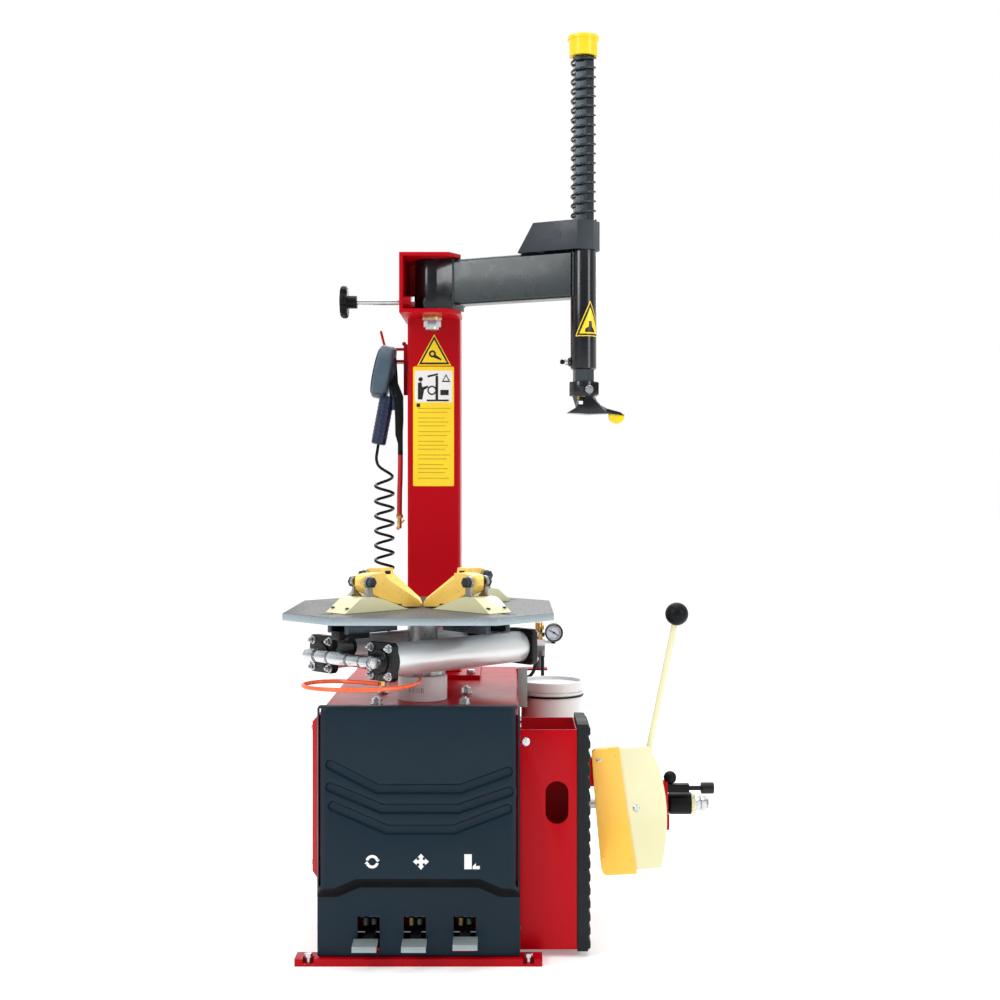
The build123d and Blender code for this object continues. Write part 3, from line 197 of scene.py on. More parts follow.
BLUE_GREY = finish_material("blue_grey_boot", (0.045, 0.090, 0.125), 0.52, second=(0.032, 0.066, 0.095),
                            patch=15.0, grain=1000.0, grain_depth=0.00015)
GREY_GREEN = finish_material("grey_green_zinc", (0.42, 0.50, 0.47), 0.38, metal=0.3, patch=20.0,
                             grain=600.0)
GREY = finish_material("grey_alloy", (0.22, 0.24, 0.25), 0.36, metal=0.5, patch=30.0, grain=700.0)
WHITE = finish_material("white_plastic", (0.80, 0.80, 0.80), 0.38, second=(0.74, 0.74, 0.73), patch=6.0,
                        grain=700.0, grain_depth=0.00005, coat=0.15, coat_rough=0.2)
ORANGE = finish_material("orange_hose", (0.92, 0.125, 0.025), 0.26, second=(0.82, 0.09, 0.015), patch=16.0,
                         grain=500.0, coat=0.3, coat_rough=0.12)
RED_HOSE_MAT = finish_material("red_hose_rubber", (0.50, 0.010, 0.012), 0.45, second=(0.40, 0.008, 0.01),
                               patch=20.0, grain=900.0, grain_depth=0.00012)
STEEL = finish_material("ground_steel", (0.42, 0.44, 0.45), 0.30, metal=0.95, second=(0.30, 0.31, 0.32),
                        patch=7.0, spread=0.08, grain=500.0, grain_depth=0.00003, stretch=(1, 14, 1))
PLATE = finish_material("turntable_steel", (0.13, 0.137, 0.134), 0.46, metal=0.15,
                        second=(0.10, 0.106, 0.104), patch=3.0, spread=0.05, grain=180.0, specular=0.10,
                        grain_depth=0.00002, stretch=(14, 1, 1))
PLATE_EDGE = finish_material("cut_steel_edge", (0.32, 0.39, 0.42), 0.32, metal=0.6,
                             second=(0.44, 0.54, 0.60), patch=8.0, grain=300.0, grain_depth=0.00004)
DARK_STEEL = finish_material("dark_steel", (0.060, 0.075, 0.088), 0.30, metal=0.85,
                             second=(0.035, 0.045, 0.055), patch=10.0, grain=500.0, grain_depth=0.00004,
                             stretch=(8, 8, 0.4), wear=(0.4, 0.42, 0.44), wear_amount=0.6)
CHROME = finish_material("zinc_plate", (0.60, 0.62, 0.64), 0.28, metal=0.95, second=(0.48, 0.50, 0.52),
                         patch=20.0, grain=600.0, grain_depth=0.00001)
ALUMINIUM = finish_material("drawn_aluminium", (0.84, 0.86, 0.86), 0.36, metal=0.55,
                            second=(0.64, 0.66, 0.66), patch=2.0, spread=0.05, grain=260.0,
                            grain_depth=0.00002, stretch=(1, 1, 20))
PEDAL_METAL = finish_material("cast_aluminium", (0.36, 0.42, 0.43), 0.38, metal=0.4,
                              second=(0.28, 0.34, 0.36), patch=25.0, grain=900.0, grain_depth=0.00012,
                              wear=(0.70, 0.75, 0.78), wear_amount=0.7)
IRON = finish_material("grey_casting", (0.07, 0.075, 0.08), 0.55, metal=0.4, second=(0.05, 0.05, 0.055),
                       patch=12.0, grain=500.0, grain_depth=0.0004)
BRASS = finish_material("machined_brass", (0.66, 0.42, 0.15), 0.28, metal=0.95, second=(0.48, 0.29, 0.10),
                        patch=30.0, grain=900.0, grain_depth=0.00003)
INK = finish_material("sticker_black", (0.008, 0.008, 0.008), 0.35, patch=30.0)
STICKER_YELLOW = finish_material("sticker_yellow", (0.93, 0.66, 0.012), 0.34, second=(0.88, 0.60, 0.01),
                                 patch=12.0, coat=0.25)
STICKER_WHITE = finish_material("sticker_white", (0.82, 0.82, 0.81), 0.34, patch=12.0, patch_amount=0.15,
                                coat=0.25)
LINE_TONE = finish_material("sticker_line", (0.52, 0.36, 0.01), 0.4, patch=30.0)
PALE_PRINT = finish_material("icon_white", (0.80, 0.81, 0.82), 0.45, patch=20.0, patch_amount=0.2)
LABEL_GREY = finish_material("label_grey", (0.40, 0.40, 0.42), 0.45, patch=20.0, patch_amount=0.2)
DIAL = finish_material("dial_face", (0.62, 0.70, 0.78), 0.35, patch=20.0, patch_amount=0.1)
GREEN = finish_material("green_fitting", (0.03, 0.09, 0.06), 0.40, patch=30.0)
DIM_BRASS = finish_material("dull_brass", (0.20, 0.16, 0.06), 0.45, metal=0.8, patch=30.0)

NODE_LOOK = {
    "base_rails": (RED, 0.6), "frame_bolts": (CHROME, 0.3), "cabinet": (RED, 1.0),
    "left_side_panel": (RED, 1.5), "front_cover": (SLATE, 2.5), "side_box": (RED, 0.8),
    "rubber_pad": (RUBBER, 1.2), "gearbox_housing": (IRON, 1.0), "hub_collar": (WHITE, 1.0),
    "motor": (IRON, 1.0), "gearbox_pulley": (IRON, 0.5), "motor_pulley": (IRON, 0.5),
    "drive_belt": (RUBBER, 0.0), "inner_frame": (DARK_STEEL, 0.6), "pedal_rotate": (PEDAL_METAL, 1.2),
    "pedal_clamp": (PEDAL_METAL, 1.2), "pedal_bead": (PEDAL_METAL, 1.2),
    "turntable_shaft": (STEEL, 1.0), "turntable_plate": (PLATE, 1.0), "clamp_barrels": (ALUMINIUM, 0.5),
    "clamp_heads": (BLACK_METAL, 1.5), "clamp_rods": (CHROME, 0.8), "column": (RED, 1.2),
    "arm_pivot_pin": (CHROME, 0.8), "swing_arm": (DARK_TEAL, 1.2), "lock_cover": (LOCK, 2.0),
    "hex_shaft": (DARK_STEEL, 0.8), "shaft_cap": (YELLOW, 1.5), "mount_head": (NEAR_BLACK, 1.2),
    "head_insert": (YELLOW, 0.8), "handwheel_screw": (BLACK, 1.5), "bead_arm_hinge": (RED, 1.0),
    "bead_arm": (RED, 1.0), "bead_blade": (CREAM, 1.5), "blade_guard": (GUARD, 3.0),
    "blade_lever": (CREAM, 0.2), "bead_plunger": (BLACK_METAL, 0.6), "bead_cylinder": (IRON, 1.5),
    "bead_rod": (STEEL, 0.8), "accessory_brackets": (RED, 0.6), "air_regulator": (BRASS, 0.6),
    "pressure_gauge": (BLACK, 0.6), "gauge_needle": (INK, 0.0), "air_hoses": (RUBBER, 0.0),
    "bucket": (WHITE, 0.8), "inflator_gun": (BLUE, 2.0), "inflator_trigger": (BLACK, 1.0),
    "air_chuck": (BRASS, 0.4),
}
for number in (1, 2, 3, 4):
    NODE_LOOK[f"jaw_slide_{number}"] = (CREAM, 1.2)
    NODE_LOOK[f"jaw_{number}"] = (JAW, 1.4)


# ---------------------------------------------------------------- mesh helpers
def smooth(mesh, degrees=35):
    for polygon in mesh.polygons:
        polygon.use_smooth = True
    mesh.set_sharp_from_angle(angle=radians(degrees))


def place_object(name, mesh, material, body):
    obj = bpy.data.objects.new(name, mesh)
    SCENE.collection.objects.link(obj)
    if material is not None:
        mesh.materials.append(material)
    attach(obj, body)
    return obj


def from_bmesh(name, bm, material, body, degrees=35):
    bmesh.ops.recalc_face_normals(bm, faces=bm.faces)
    mesh = bpy.data.meshes.new(name)
    bm.to_mesh(mesh)
    bm.free()
    smooth(mesh, degrees)
    return place_object(name, mesh, material, body)


def round_edges(bm, width, degrees=28, segments=3):
    edges = [e for e in bm.edges if len(e.link_faces) == 2 and e.calc_face_angle(0) > radians(degrees)]
    if edges and width:
        bmesh.ops.bevel(bm, geom=edges, offset=width, segments=segments, affect="EDGES", profile=0.5,
                        clamp_overlap=True)


def refine(node, material, width_mm):
    """The CAD node's own surface with its machined edges rounded off."""
    bm = bmesh.new()
    bm.from_mesh(NODES[node].data)
    bmesh.ops.remove_doubles(bm, verts=bm.verts, dist=2e-6)
    bmesh.ops.dissolve_limit(bm, angle_limit=radians(0.6), verts=bm.verts, edges=bm.edges)
    round_edges(bm, width_mm / 1000)
    obj = from_bmesh(node + "_skin", bm, material, BODY_OF[node], 32)
    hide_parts(node)
    return obj


def shells(bm):
    """The separate connected surfaces of a mesh, each as a list of faces."""
    seen = set()
    found = []
    for first in bm.faces:
        if first in seen:
            continue
        seen.add(first)
        group = [first]
        for face in group:
            for edge in face.edges:
                for near in edge.link_faces:
                    if near not in seen:
                        seen.add(near)
                        group.append(near)
        found.append(group)
    return found


def repaint(node, *rules):
    """Give parts of a node's skin other finishes, and in places painted shade: (material, test of face
    centre, normal and shell).
    """
    mesh = SKINS[node].data
    bm = bmesh.new()
    bm.from_mesh(mesh)
    for group in shells(bm):
        corners = [v.co for face in group for v in face.verts]
        low = Vector([min(c[i] for c in corners) for i in range(3)])
        high = Vector([max(c[i] for c in corners) for i in range(3)])
        for face in group:
            centre = face.calc_center_median()
            for index, (_, test) in enumerate(rules, start=1):
                if test(centre, face.normal, low, high):
                    face.material_index = index
                    break
    bm.to_mesh(mesh)
    bm.free()
    for material, _ in rules:
        mesh.materials.append(material)


def axis_matrix(origin, direction):
    """A place whose Z is the direction."""
    turn = Vector(direction).normalized().to_track_quat("Z", "Y").to_matrix().to_4x4()
    return Matrix.Translation(Vector(origin)) @ turn


def turned(name, profile, origin, direction, material, body, segments=40, hollow=False):
    """A turned piece: (radius, height) points spun about a direction, with or without a bore."""
    bm = bmesh.new()
    rings = []
    for radius, height in profile:
        count = 1 if radius < 1e-6 else segments
        rings.append([bm.verts.new((radius * cos(2 * pi * k / segments), radius * sin(2 * pi * k / segments),
                                    height)) for k in range(count)])
    for low, high in zip(rings, rings[1:] + (rings[:1] if hollow else [])):
        for k in range(segments):
            a, b = low[k % len(low)], low[(k + 1) % len(low)]
            c, d = high[(k + 1) % len(high)], high[k % len(high)]
            corners = [v for i, v in enumerate((a, b, c, d)) if v not in (a, b, c, d)[:i]]
            if len(corners) > 2:
                bm.faces.new(corners)
    for ring, flip in ((rings[0], True), (rings[-1], False)):
        if len(ring) > 1 and not hollow:
            bm.faces.new(ring[::-1] if flip else ring)
    bm.transform(axis_matrix(origin, direction))
    return from_bmesh(name, bm, material, body, 30)


def plate(name, outline, thickness, matrix, material, body, bevel=0.0):
    """A flat piece cut to an outline, thickened along the matrix's Z."""
    bm = bmesh.new()
    low = [bm.verts.new((x, y, 0)) for x, y in outline]
    high = [bm.verts.new((x, y, thickness)) for x, y in outline]
    bm.faces.new(low[::-1])
    bm.faces.new(high)
    for k in range(len(outline)):
        j = (k + 1) % len(outline)
        bm.faces.new((low[k], low[j], high[j], high[k]))
    if bevel:
        round_edges(bm, bevel, 25, 2)
    bm.transform(matrix)
    return from_bmesh(name, bm, material, body, 30)


def facing(origin, right, up):
    """A place whose X is right, Y is up and Z is out of the surface."""
    x = Vector(right).normalized()
    y = Vector(up).normalized()
    z = x.cross(y)
    return Matrix.Translation(Vector(origin)) @ Matrix((x, y, z)).transposed().to_4x4()


def bar(x0, x1, y0, y1):
    """A rectangle's corners, anticlockwise from its lower left."""
    return [(x0, y0), (x1, y0), (x1, y1), (x0, y1)]


def ring_points(radius, count, start=0.0):
    return [(radius * cos(start + 2 * pi * k / count), radius * sin(start + 2 * pi * k / count))
            for k in range(count)]


def hex_bolt(name, origin, direction, flats, height, material, body, turn=0.0, washer=0.0):
    corner = flats / 2 / cos(pi / 6)
    head = plate(name, ring_points(corner, 6, turn), height, axis_matrix(origin, direction), material, body,
                 bevel=min(flats, height) * 0.12)
    if washer:
        turned(name + "_washer", [(washer, 0), (washer, height * 0.16), (washer * 0.96, height * 0.2)],
               origin, direction, material, body, 28)
    return head


def pipe(name, points, radius, material, body, order=3):
    """A round hose along a smooth line through a given route."""
    curve = bpy.data.curves.new(name, "CURVE")
    curve.dimensions = "3D"
    curve.bevel_depth = 1.0
    curve.bevel_resolution = 6
    curve.resolution_u = 10
    curve.use_fill_caps = True
    spline = curve.splines.new("NURBS")
    spline.points.add(len(points) - 1)
    for point, place in zip(spline.points, points):
        point.co = (*place, 1)
        point.radius = radius
    spline.order_u = order
    spline.use_endpoint_u = True
    curve.materials.append(material)
    obj = bpy.data.objects.new(name, curve)
    SCENE.collection.objects.link(obj)
    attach(obj, body)
    return obj


# ---------------------------------------------------------------- camera, light and floor
def photo_camera():
    """The long lens that stands square to the machine, a little off its middle."""
    data = bpy.data.cameras.new("camera")
    data.lens = 53.3
    data.sensor_width = 36
    data.shift_x = -0.008
    data.shift_y = -0.018
    camera = bpy.data.objects.new("camera", data)
    camera.location = (0.169, -3.140, 0.9134)
    camera.rotation_euler = (pi / 2, 0, 0)
    SCENE.collection.objects.link(camera)
    SCENE.camera = camera


def area_light(name, location, target, size, power):
    data = bpy.data.lights.new(name, "AREA")
    data.shape = "RECTANGLE"
    data.size, data.size_y = size
    data.energy = power
    obj = bpy.data.objects.new(name, data)
    obj.location = location
    obj.rotation_euler = (Vector(target) - Vector(location)).to_track_quat("-Z", "Y").to_euler()
    SCENE.collection.objects.link(obj)


photo_camera()
area_light("key", (-2.4, -2.6, 2.9), (0, 0, 0.8), (1.2, 2.2), 62)
area_light("fill", (2.9, -2.2, 1.8), (0.1, 0, 0.8), (0.9, 2.4), 36)
area_light("top", (0.2, 0.2, 3.6), (0, 0, 0.5), (2.6, 2.0), 42)
area_light("back", (0.4, 3.0, 2.4), (0, 0, 0.9), (2.5, 1.6), 40)


def studio_world():
    """A white room that is bright behind and above the machine and dim in front of it."""
    world = bpy.data.worlds.new("studio")
    world.use_nodes = True
    tree = world.node_tree
    direction = new_node(tree, "ShaderNodeTexCoord").outputs["Generated"]
    split = new_node(tree, "ShaderNodeSeparateXYZ")
    tree.links.new(direction, split.inputs["Vector"])
    behind = map_range(tree, split.outputs["Y"], -0.35, 0.45, 0.26, 1.0)
    above = map_range(tree, split.outputs["Z"], 0.25, 0.8, 0.26, 1.0)
    brighter = new_node(tree, "ShaderNodeMath", operation="MAXIMUM")
    tree.links.new(behind, brighter.inputs[0])
    tree.links.new(above, brighter.inputs[1])
    tree.nodes["Background"].inputs["Color"].default_value = (1, 1, 1, 1)
    tree.links.new(brighter.outputs["Value"], tree.nodes["Background"].inputs["Strength"])
    return world


SCENE.world = studio_world()
SCENE.view_settings.view_transform = "Standard"

FLOOR = finish_material("pale_floor", (0.95, 0.95, 0.953), 0.7, second=(0.93, 0.93, 0.933), patch=1.5,
                        patch_amount=0.3, grain=200.0, grain_depth=0.00005, specular=0.2)
FLOOR_HALF = 30


def lit_floor():
    """A wide pale floor that glows a little, so that it melts into the room behind it."""
    shader = FLOOR.node_tree.nodes["Principled BSDF"]
    shader.inputs["Emission Color"].default_value = (1, 1, 1, 1)
    shader.inputs["Emission Strength"].default_value = 0.22
    mesh = bpy.data.meshes.new("floor")
    corners = [(-FLOOR_HALF, -FLOOR_HALF, 0), (FLOOR_HALF, -FLOOR_HALF, 0), (FLOOR_HALF, FLOOR_HALF, 0),
               (-FLOOR_HALF, FLOOR_HALF, 0)]
    mesh.from_pydata(corners, [], [(0, 1, 2, 3)])
    mesh.materials.append(FLOOR)
    floor = bpy.data.objects.new("floor", mesh)
    SCENE.collection.objects.link(floor)


lit_floor()


# ---------------------------------------------------------------- cords
HOSE_Z = 0.528
ORANGE_ROUTE = [(-0.0725, -0.1925), (-0.112, -0.170), (-0.156, -0.152), (-0.198, -0.164),
                (-0.219, -0.202), (-0.206, -0.246), (-0.168, -0.270), (-0.120, -0.280), (-0.072, -0.276),
                (-0.032, -0.252), (-0.004, -0.212), (0.006, -0.156), (0.0, -0.102), (0.0, -0.050)]
orange_points = [(TABLE.x + x, TABLE.y + y, HOSE_Z) for x, y in ORANGE_ROUTE]
orange = pipe("orange_air_hose", orange_points, 0.004, ORANGE, "turntable")
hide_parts("orange_hose")

red_route = [(-0.080, GUN_Y, 0.976), (-0.080, GUN_Y, 0.932), (-0.082, GUN_Y, 0.884), (-0.082, GUN_Y, 0.838)]
red_cord = pipe("inflator_red_hose", red_route, 0.006, RED_HOSE_MAT, "machine")
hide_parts("red_hose")

COIL_X, COIL_Y, COIL_R, COIL_TURNS, PER_TURN = -0.117, GUN_Y, 0.0212, 10.5, 14
COIL_TOP, COIL_DROP = 0.958, 0.404
STEPS = int(COIL_TURNS * PER_TURN)
curl_points = [(-0.131, GUN_Y, 1.000), (-0.1335, GUN_Y, 0.984), (-0.136, 0.284, 0.969)]
steps_down = [1.0 + 1.6 * 0.82 ** k + 1.6 * 0.82 ** (STEPS - k) for k in range(STEPS + 1)]
fallen = 0.0
for k in range(STEPS + 1):
    angle = pi + 0.25 + 2 * pi * k / PER_TURN
    swell = min(1.0, 0.80 + 0.2 * k / PER_TURN, 0.55 + 0.45 * (STEPS - k) / PER_TURN)
    curl_points.append((COIL_X + COIL_R * swell * cos(angle), COIL_Y + COIL_R * swell * sin(angle),
                        COIL_TOP - COIL_DROP * fallen / sum(steps_down)))
    fallen += steps_down[k]
curl_points += [(-0.116, 0.270, 0.541), (-0.117, 0.267, 0.522), (-0.117, 0.266, 0.503),
                (-0.117, 0.266, 0.488)]
curly = pipe("curly_air_hose", curl_points, 0.0034, BLACK, "machine")
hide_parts("curly_hose")


def spline_length(obj):
    """The real length of a hose along its own smooth line."""
    depth, obj.data.bevel_depth = obj.data.bevel_depth, 0
    depsgraph = bpy.context.evaluated_depsgraph_get()
    line = bpy.data.meshes.new_from_object(obj.evaluated_get(depsgraph))
    obj.data.bevel_depth = depth
    points = [v.co.copy() for v in line.vertices]
    bpy.data.meshes.remove(line)
    return sum((b - a).length for a, b in zip(points, points[1:]))


spline_length(orange)
spline_length(curly)


# ---------------------------------------------------------------- every CAD node gets its finish
SKINS = {}
for node, (material, width) in NODE_LOOK.items():
    if width:
        SKINS[node] = refine(node, material, width)
    else:
        NODES[node].data.materials.clear()
        NODES[node].data.materials.append(material)
spline_length(red_cord)


# ---------------------------------------------------------------- mast spring
SPRING_TURNS, SPRING_STEPS, SPRING_R, WIRE_R = 17, 20, 0.0256, 0.0026
SPRING_LOW, SPRING_HIGH = 1.4676, 1.8105


def mast_spring():
    """The open coil round the mast."""
    count = SPRING_TURNS * SPRING_STEPS
    coil = []
    for k in range(count + 1):
        angle = 2 * pi * k / SPRING_STEPS
        coil.append((HEX_X + SPRING_R * cos(angle), HEX_Y + SPRING_R * sin(angle),
                     SPRING_LOW + (SPRING_HIGH - SPRING_LOW) * (k / count)))
    line = pipe("spring_line", coil, WIRE_R, NEAR_BLACK, "arm")
    line.data.resolution_u = 2
    mesh = bpy.data.meshes.new_from_object(line.evaluated_get(bpy.context.evaluated_depsgraph_get()))
    bpy.data.objects.remove(line)
    smooth(mesh, 60)
    spring = place_object("mast_spring", mesh, None, "arm")
    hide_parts("return_spring")
    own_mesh(spring)


mast_spring()


# ---------------------------------------------------------------- second finishes within one node, and painted shade
def box_test(x=(-9, 9), y=(-9, 9), z=(-9, 9)):
    """Faces whose centre lies within these bounds, in metres."""
    def test(centre, normal, low, high):
        return x[0] < centre.x < x[1] and y[0] < centre.y < y[1] and z[0] < centre.z < z[1]
    return test


def shell_test(x=(-9, 9), y=(-9, 9), z=(-9, 9)):
    """Faces of a separate piece that lies wholly within these bounds."""
    def test(centre, normal, low, high):
        return all(a[0] < lo and hi < a[1] for a, lo, hi in zip((x, y, z), low, high))
    return test


def near_axis(x, y, radius):
    """Faces close to an upright axis."""
    def test(centre, normal, low, high):
        return (centre.x - x) ** 2 + (centre.y - y) ** 2 < radius ** 2
    return test


def round_the_rod(x0, x1):
    """Faces round the bead breaker's rod, off its own surface, between two places along it."""
    def test(centre, normal, low, high):
        off_axis = hypot(centre.y - ROD_Y, centre.z - ROD_Z)
        return x0 < centre.x < x1 and off_axis > 0.0113
    return test


repaint("bead_rod", (BLACK, round_the_rod(0.500, 0.5515)), (CREAM, round_the_rod(0.5515, 0.5603)),
        (CHROME, round_the_rod(0.5603, 0.60)))
repaint("bead_arm", (BLACK, shell_test(z=(0.28, 0.32))),
        (BLACK, box_test(x=(0.4965, 0.56), y=(-0.075, -0.045), z=(0.262, 0.295))))
repaint("blade_lever", (BLACK, shell_test(z=(0.62, 0.70))))
repaint("handwheel_screw", (CHROME, box_test(x=(-0.1615, 0.0))))
repaint("arm_pivot_pin", (BRASS, box_test(z=(1.2752, 1.2829))))
repaint("clamp_rods", (BLACK_METAL, lambda c, n, low, high: high.z > 0.615))
repaint("clamp_heads", (DARK_STEEL, lambda c, n, low, high: high.z > 0.62),
        (BRASS, box_test(z=(0, 0.5335))))
for number in (1, 2, 3, 4):
    repaint(f"jaw_{number}", (DARK_STEEL, shell_test(z=(0.70, 0.735))))
    repaint(f"jaw_slide_{number}", (STEEL, box_test(z=(0.6892, 0.8))),
            (DARK_STEEL, box_test(z=(0, 0.6596))))
for node in ("pedal_rotate", "pedal_clamp", "pedal_bead"):
    repaint(node, (DARK_STEEL, box_test(y=(-0.3465, 0))))
repaint("air_regulator", (WHITE, shell_test(z=(0.527, 0.5425))), (GREY, shell_test(z=(0.47, 0.529))))
repaint("accessory_brackets", (BLACK_METAL, shell_test(z=(0.453, 0.458))),
        (GREY_GREEN, shell_test(x=(0.18, 0.22), z=(0.43, 0.53), y=(-0.01, 0.01))))
repaint("inflator_gun", (BLACK, box_test(x=(-0.0885, 0), z=(0, 1.2))),
        (BLUE_GREY, box_test(z=(1.118, 1.3))))
# Painted shade: the arm's root within 66 mm of its pivot is painted near-black for the shade between the
# bracket plates. The faces round the mast guide get that tube's own dark finish.
repaint("swing_arm", (NEAR_BLACK, near_axis(0.0, PIVOT_Y, 0.0662)),
        (NEAR_BLACK, near_axis(HEX_X, HEX_Y, 0.0284)))
# Painted shadow: the downward-facing faces of the cover's lower ledge are painted black, standing in for the
# shadow band under the ledge.
repaint("front_cover", (BLACK, lambda c, n, low, high: 0.12 < c.z < 0.175 and n.z < -0.3))
repaint("turntable_plate", (PLATE_EDGE, lambda c, n, low, high: c.z > 0.6452 and n.z < 0.5),
        (DARK_STEEL, box_test(z=(0, 0.6452))))
repaint("inner_frame", (BRASS, shell_test(y=(-0.3, -0.19), z=(0.08, 0.115))))
repaint("frame_bolts", (DARK_STEEL, shell_test(x=(0.15, 0.3), z=(0.05, 0.08))))


# ---------------------------------------------------------------- places on the moving bodies
def from_axis(x, y, turn, along, across, z):
    """A place measured along and across a line that leaves an upright axis at an angle."""
    return (x + along * cos(turn) - across * sin(turn), y + along * sin(turn) + across * cos(turn), z)


def table_point(angle, along, across, z):
    return from_axis(TABLE.x, TABLE.y, radians(angle), along, across, z)


def arm_point(along, across, z):
    return from_axis(0.0, PIVOT_Y, ARM_TURN, along, across, z)


# ---------------------------------------------------------------- clamping cylinders and jaws
OUT_FAR = (cos(pi / 4), sin(pi / 4), 0)
OUT_NEAR = (-cos(pi / 4), -sin(pi / 4), 0)
TIE_CORNERS = [(a * TIE_BOLT_HALF, b * TIE_BOLT_HALF) for a, b in ((-1, -1), (1, -1), (1, 1), (-1, 1))]


def head_trim(tag, side, face, outward, bore):
    """The tie bolts and the rod gland on one end face of a clamping cylinder."""
    middle = side * CYLINDER_SIDE
    for k, (dy, dz) in enumerate(TIE_CORNERS):
        place = table_point(45, face, middle + dy, CYLINDER_Z + dz)
        hex_bolt(f"tie_bolt_{tag}_{k}", place, outward, 0.0115, 0.0065, CHROME, "slide_1", k * 0.4, 0.0085)
        tip = Vector(place) + Vector(outward) * 0.006
        turned(f"tie_stud_{tag}_{k}", [(0.0036, 0), (0.0036, 0.0045), (0.0028, 0.0058)], tip, outward,
               CHROME, "slide_1", 16)
    turned(f"gland_{tag}", [(bore, 0), (0.0245, 0), (0.0245, 0.0035), (0.0225, 0.005), (0.0165, 0.005),
                            (0.0155, 0.0035), (bore, 0.0035)],
           table_point(45, face, middle, CYLINDER_Z), outward, BLACK_METAL, "slide_1", 48, hollow=True)


def barrel_ring(side, along):
    """The dark seal ring where a barrel enters its head."""
    turned(f"barrel_ring_{side + 2}_{along > 0}",
           [(0.0321, 0), (0.0335, 0.0004), (0.0335, 0.0036), (0.0321, 0.004)],
           table_point(45, along, side * CYLINDER_SIDE, CYLINDER_Z), OUT_FAR, BLACK_METAL, "slide_1", 56,
           hollow=True)


def jaw_trim(number, angle):
    """The rubber tip in a jaw's nose and the four screws of its carrier."""
    tip = Matrix.Translation(Vector(table_point(angle, 0.1075, -0.006, 0.7195)))
    tip = tip @ Matrix.Rotation(radians(angle), 4, "Z")
    plate(f"jaw_tip_{number}", bar(0, 0.0062, 0, 0.012), 0.008, tip, RUBBER, f"slide_{number}",
          bevel=0.0012)
    for across in (-0.022, 0.022):
        for along, height in ((0.080, 0.6681), (0.214, 0.6682)):
            turned(f"carrier_screw_{number}_{across > 0}_{along > 0.1}",
                   [(0.0042, 0), (0.0042, 0.002), (0.0032, 0.003), (0.0, 0.003)],
                   table_point(angle, along, across, height), UP, DARK_STEEL, f"slide_{number}", 18)


for side in (-1, 1):
    head_trim(f"near_{side + 2}", side, -0.190, OUT_NEAR, 0.0106)
    head_trim(f"far_{side + 2}", side, 0.205, OUT_FAR, 0.004)
    for along in (-0.172, 0.186):
        barrel_ring(side, along)
for number, angle in enumerate(JAW_ANGLES, start=1):
    jaw_trim(number, angle)


# ---------------------------------------------------------------- pictograms on the cover
def sheet(name, outline, origin, material, thickness=0.0005, body="machine"):
    """A thin printed patch that faces the operator, drawn in millimetres about its origin."""
    return plate(name, [(x / 1000, y / 1000) for x, y in outline], thickness, facing(origin, RIGHT, UP),
                 material, body)


def arc_band(radius, width, start, stop, count=12):
    """The outline of a bent bar, in millimetres and degrees."""
    angles = [radians(start + (stop - start) * k / count) for k in range(count + 1)]
    outer = [((radius + width / 2) * cos(a), (radius + width / 2) * sin(a)) for a in angles]
    inner = [((radius - width / 2) * cos(a), (radius - width / 2) * sin(a)) for a in angles]
    return outer + inner[::-1]


def quarter_turns(points):
    """A shape's first quarter, repeated at each right angle."""
    whole = []
    for step in range(4):
        for x, y in points:
            for _ in range(step):
                x, y = -y, x
            whole.append((x, y))
    return whole


ICON_Z, TIP_SHIFT = 0.2005, 0.0035
TURN_X, CROSS_X, PUSH_X = -0.0860, 0.0055, 0.1000
BLOCK_ICON = bar(-13, 1, -14, 14)
PUSH_ICON = [(2.5, -14), (16, -14), (16, -8), (8.5, -8), (8.5, -2.5), (2.5, -9)]
for name, outline, x, lift in (
        ("icon_turn_upper", arc_band(10, 5.2, 25, 165), TURN_X, 0),
        ("icon_turn_lower", arc_band(10, 5.2, 205, 345), TURN_X, 0),
        ("icon_turn_tip_right", [(5.5, 0.5), (14.5, 0.5), (10, -4.5)], TURN_X, TIP_SHIFT),
        ("icon_turn_tip_left", [(-14.5, -0.5), (-5.5, -0.5), (-10, 4.5)], TURN_X, -TIP_SHIFT),
        ("icon_cross", quarter_turns([(3.2, 3.2), (3.2, 8), (6.2, 8), (0, 15), (-6.2, 8), (-3.2, 8)]),
         CROSS_X, 0),
        ("icon_block", BLOCK_ICON, PUSH_X, 0), ("icon_push", PUSH_ICON, PUSH_X, 0)):
    sheet(name, outline, (x, COVER_Y, ICON_Z + lift), PALE_PRINT)


# ---------------------------------------------------------------- stickers on the column
def rounded(x0, x1, y0, y1, r):
    """A rectangle with round corners."""
    points = []
    for cx, cy, start in ((x1 - r, y1 - r, 0), (x0 + r, y1 - r, 90), (x0 + r, y0 + r, 180),
                          (x1 - r, y0 + r, 270)):
        points += [(cx + r * cos(radians(start + 15 * k)), cy + r * sin(radians(start + 15 * k)))
                   for k in range(7)]
    return points


def scaled(outline, factor, drop=0.0):
    return [(x * factor, y * factor + drop) for x, y in outline]


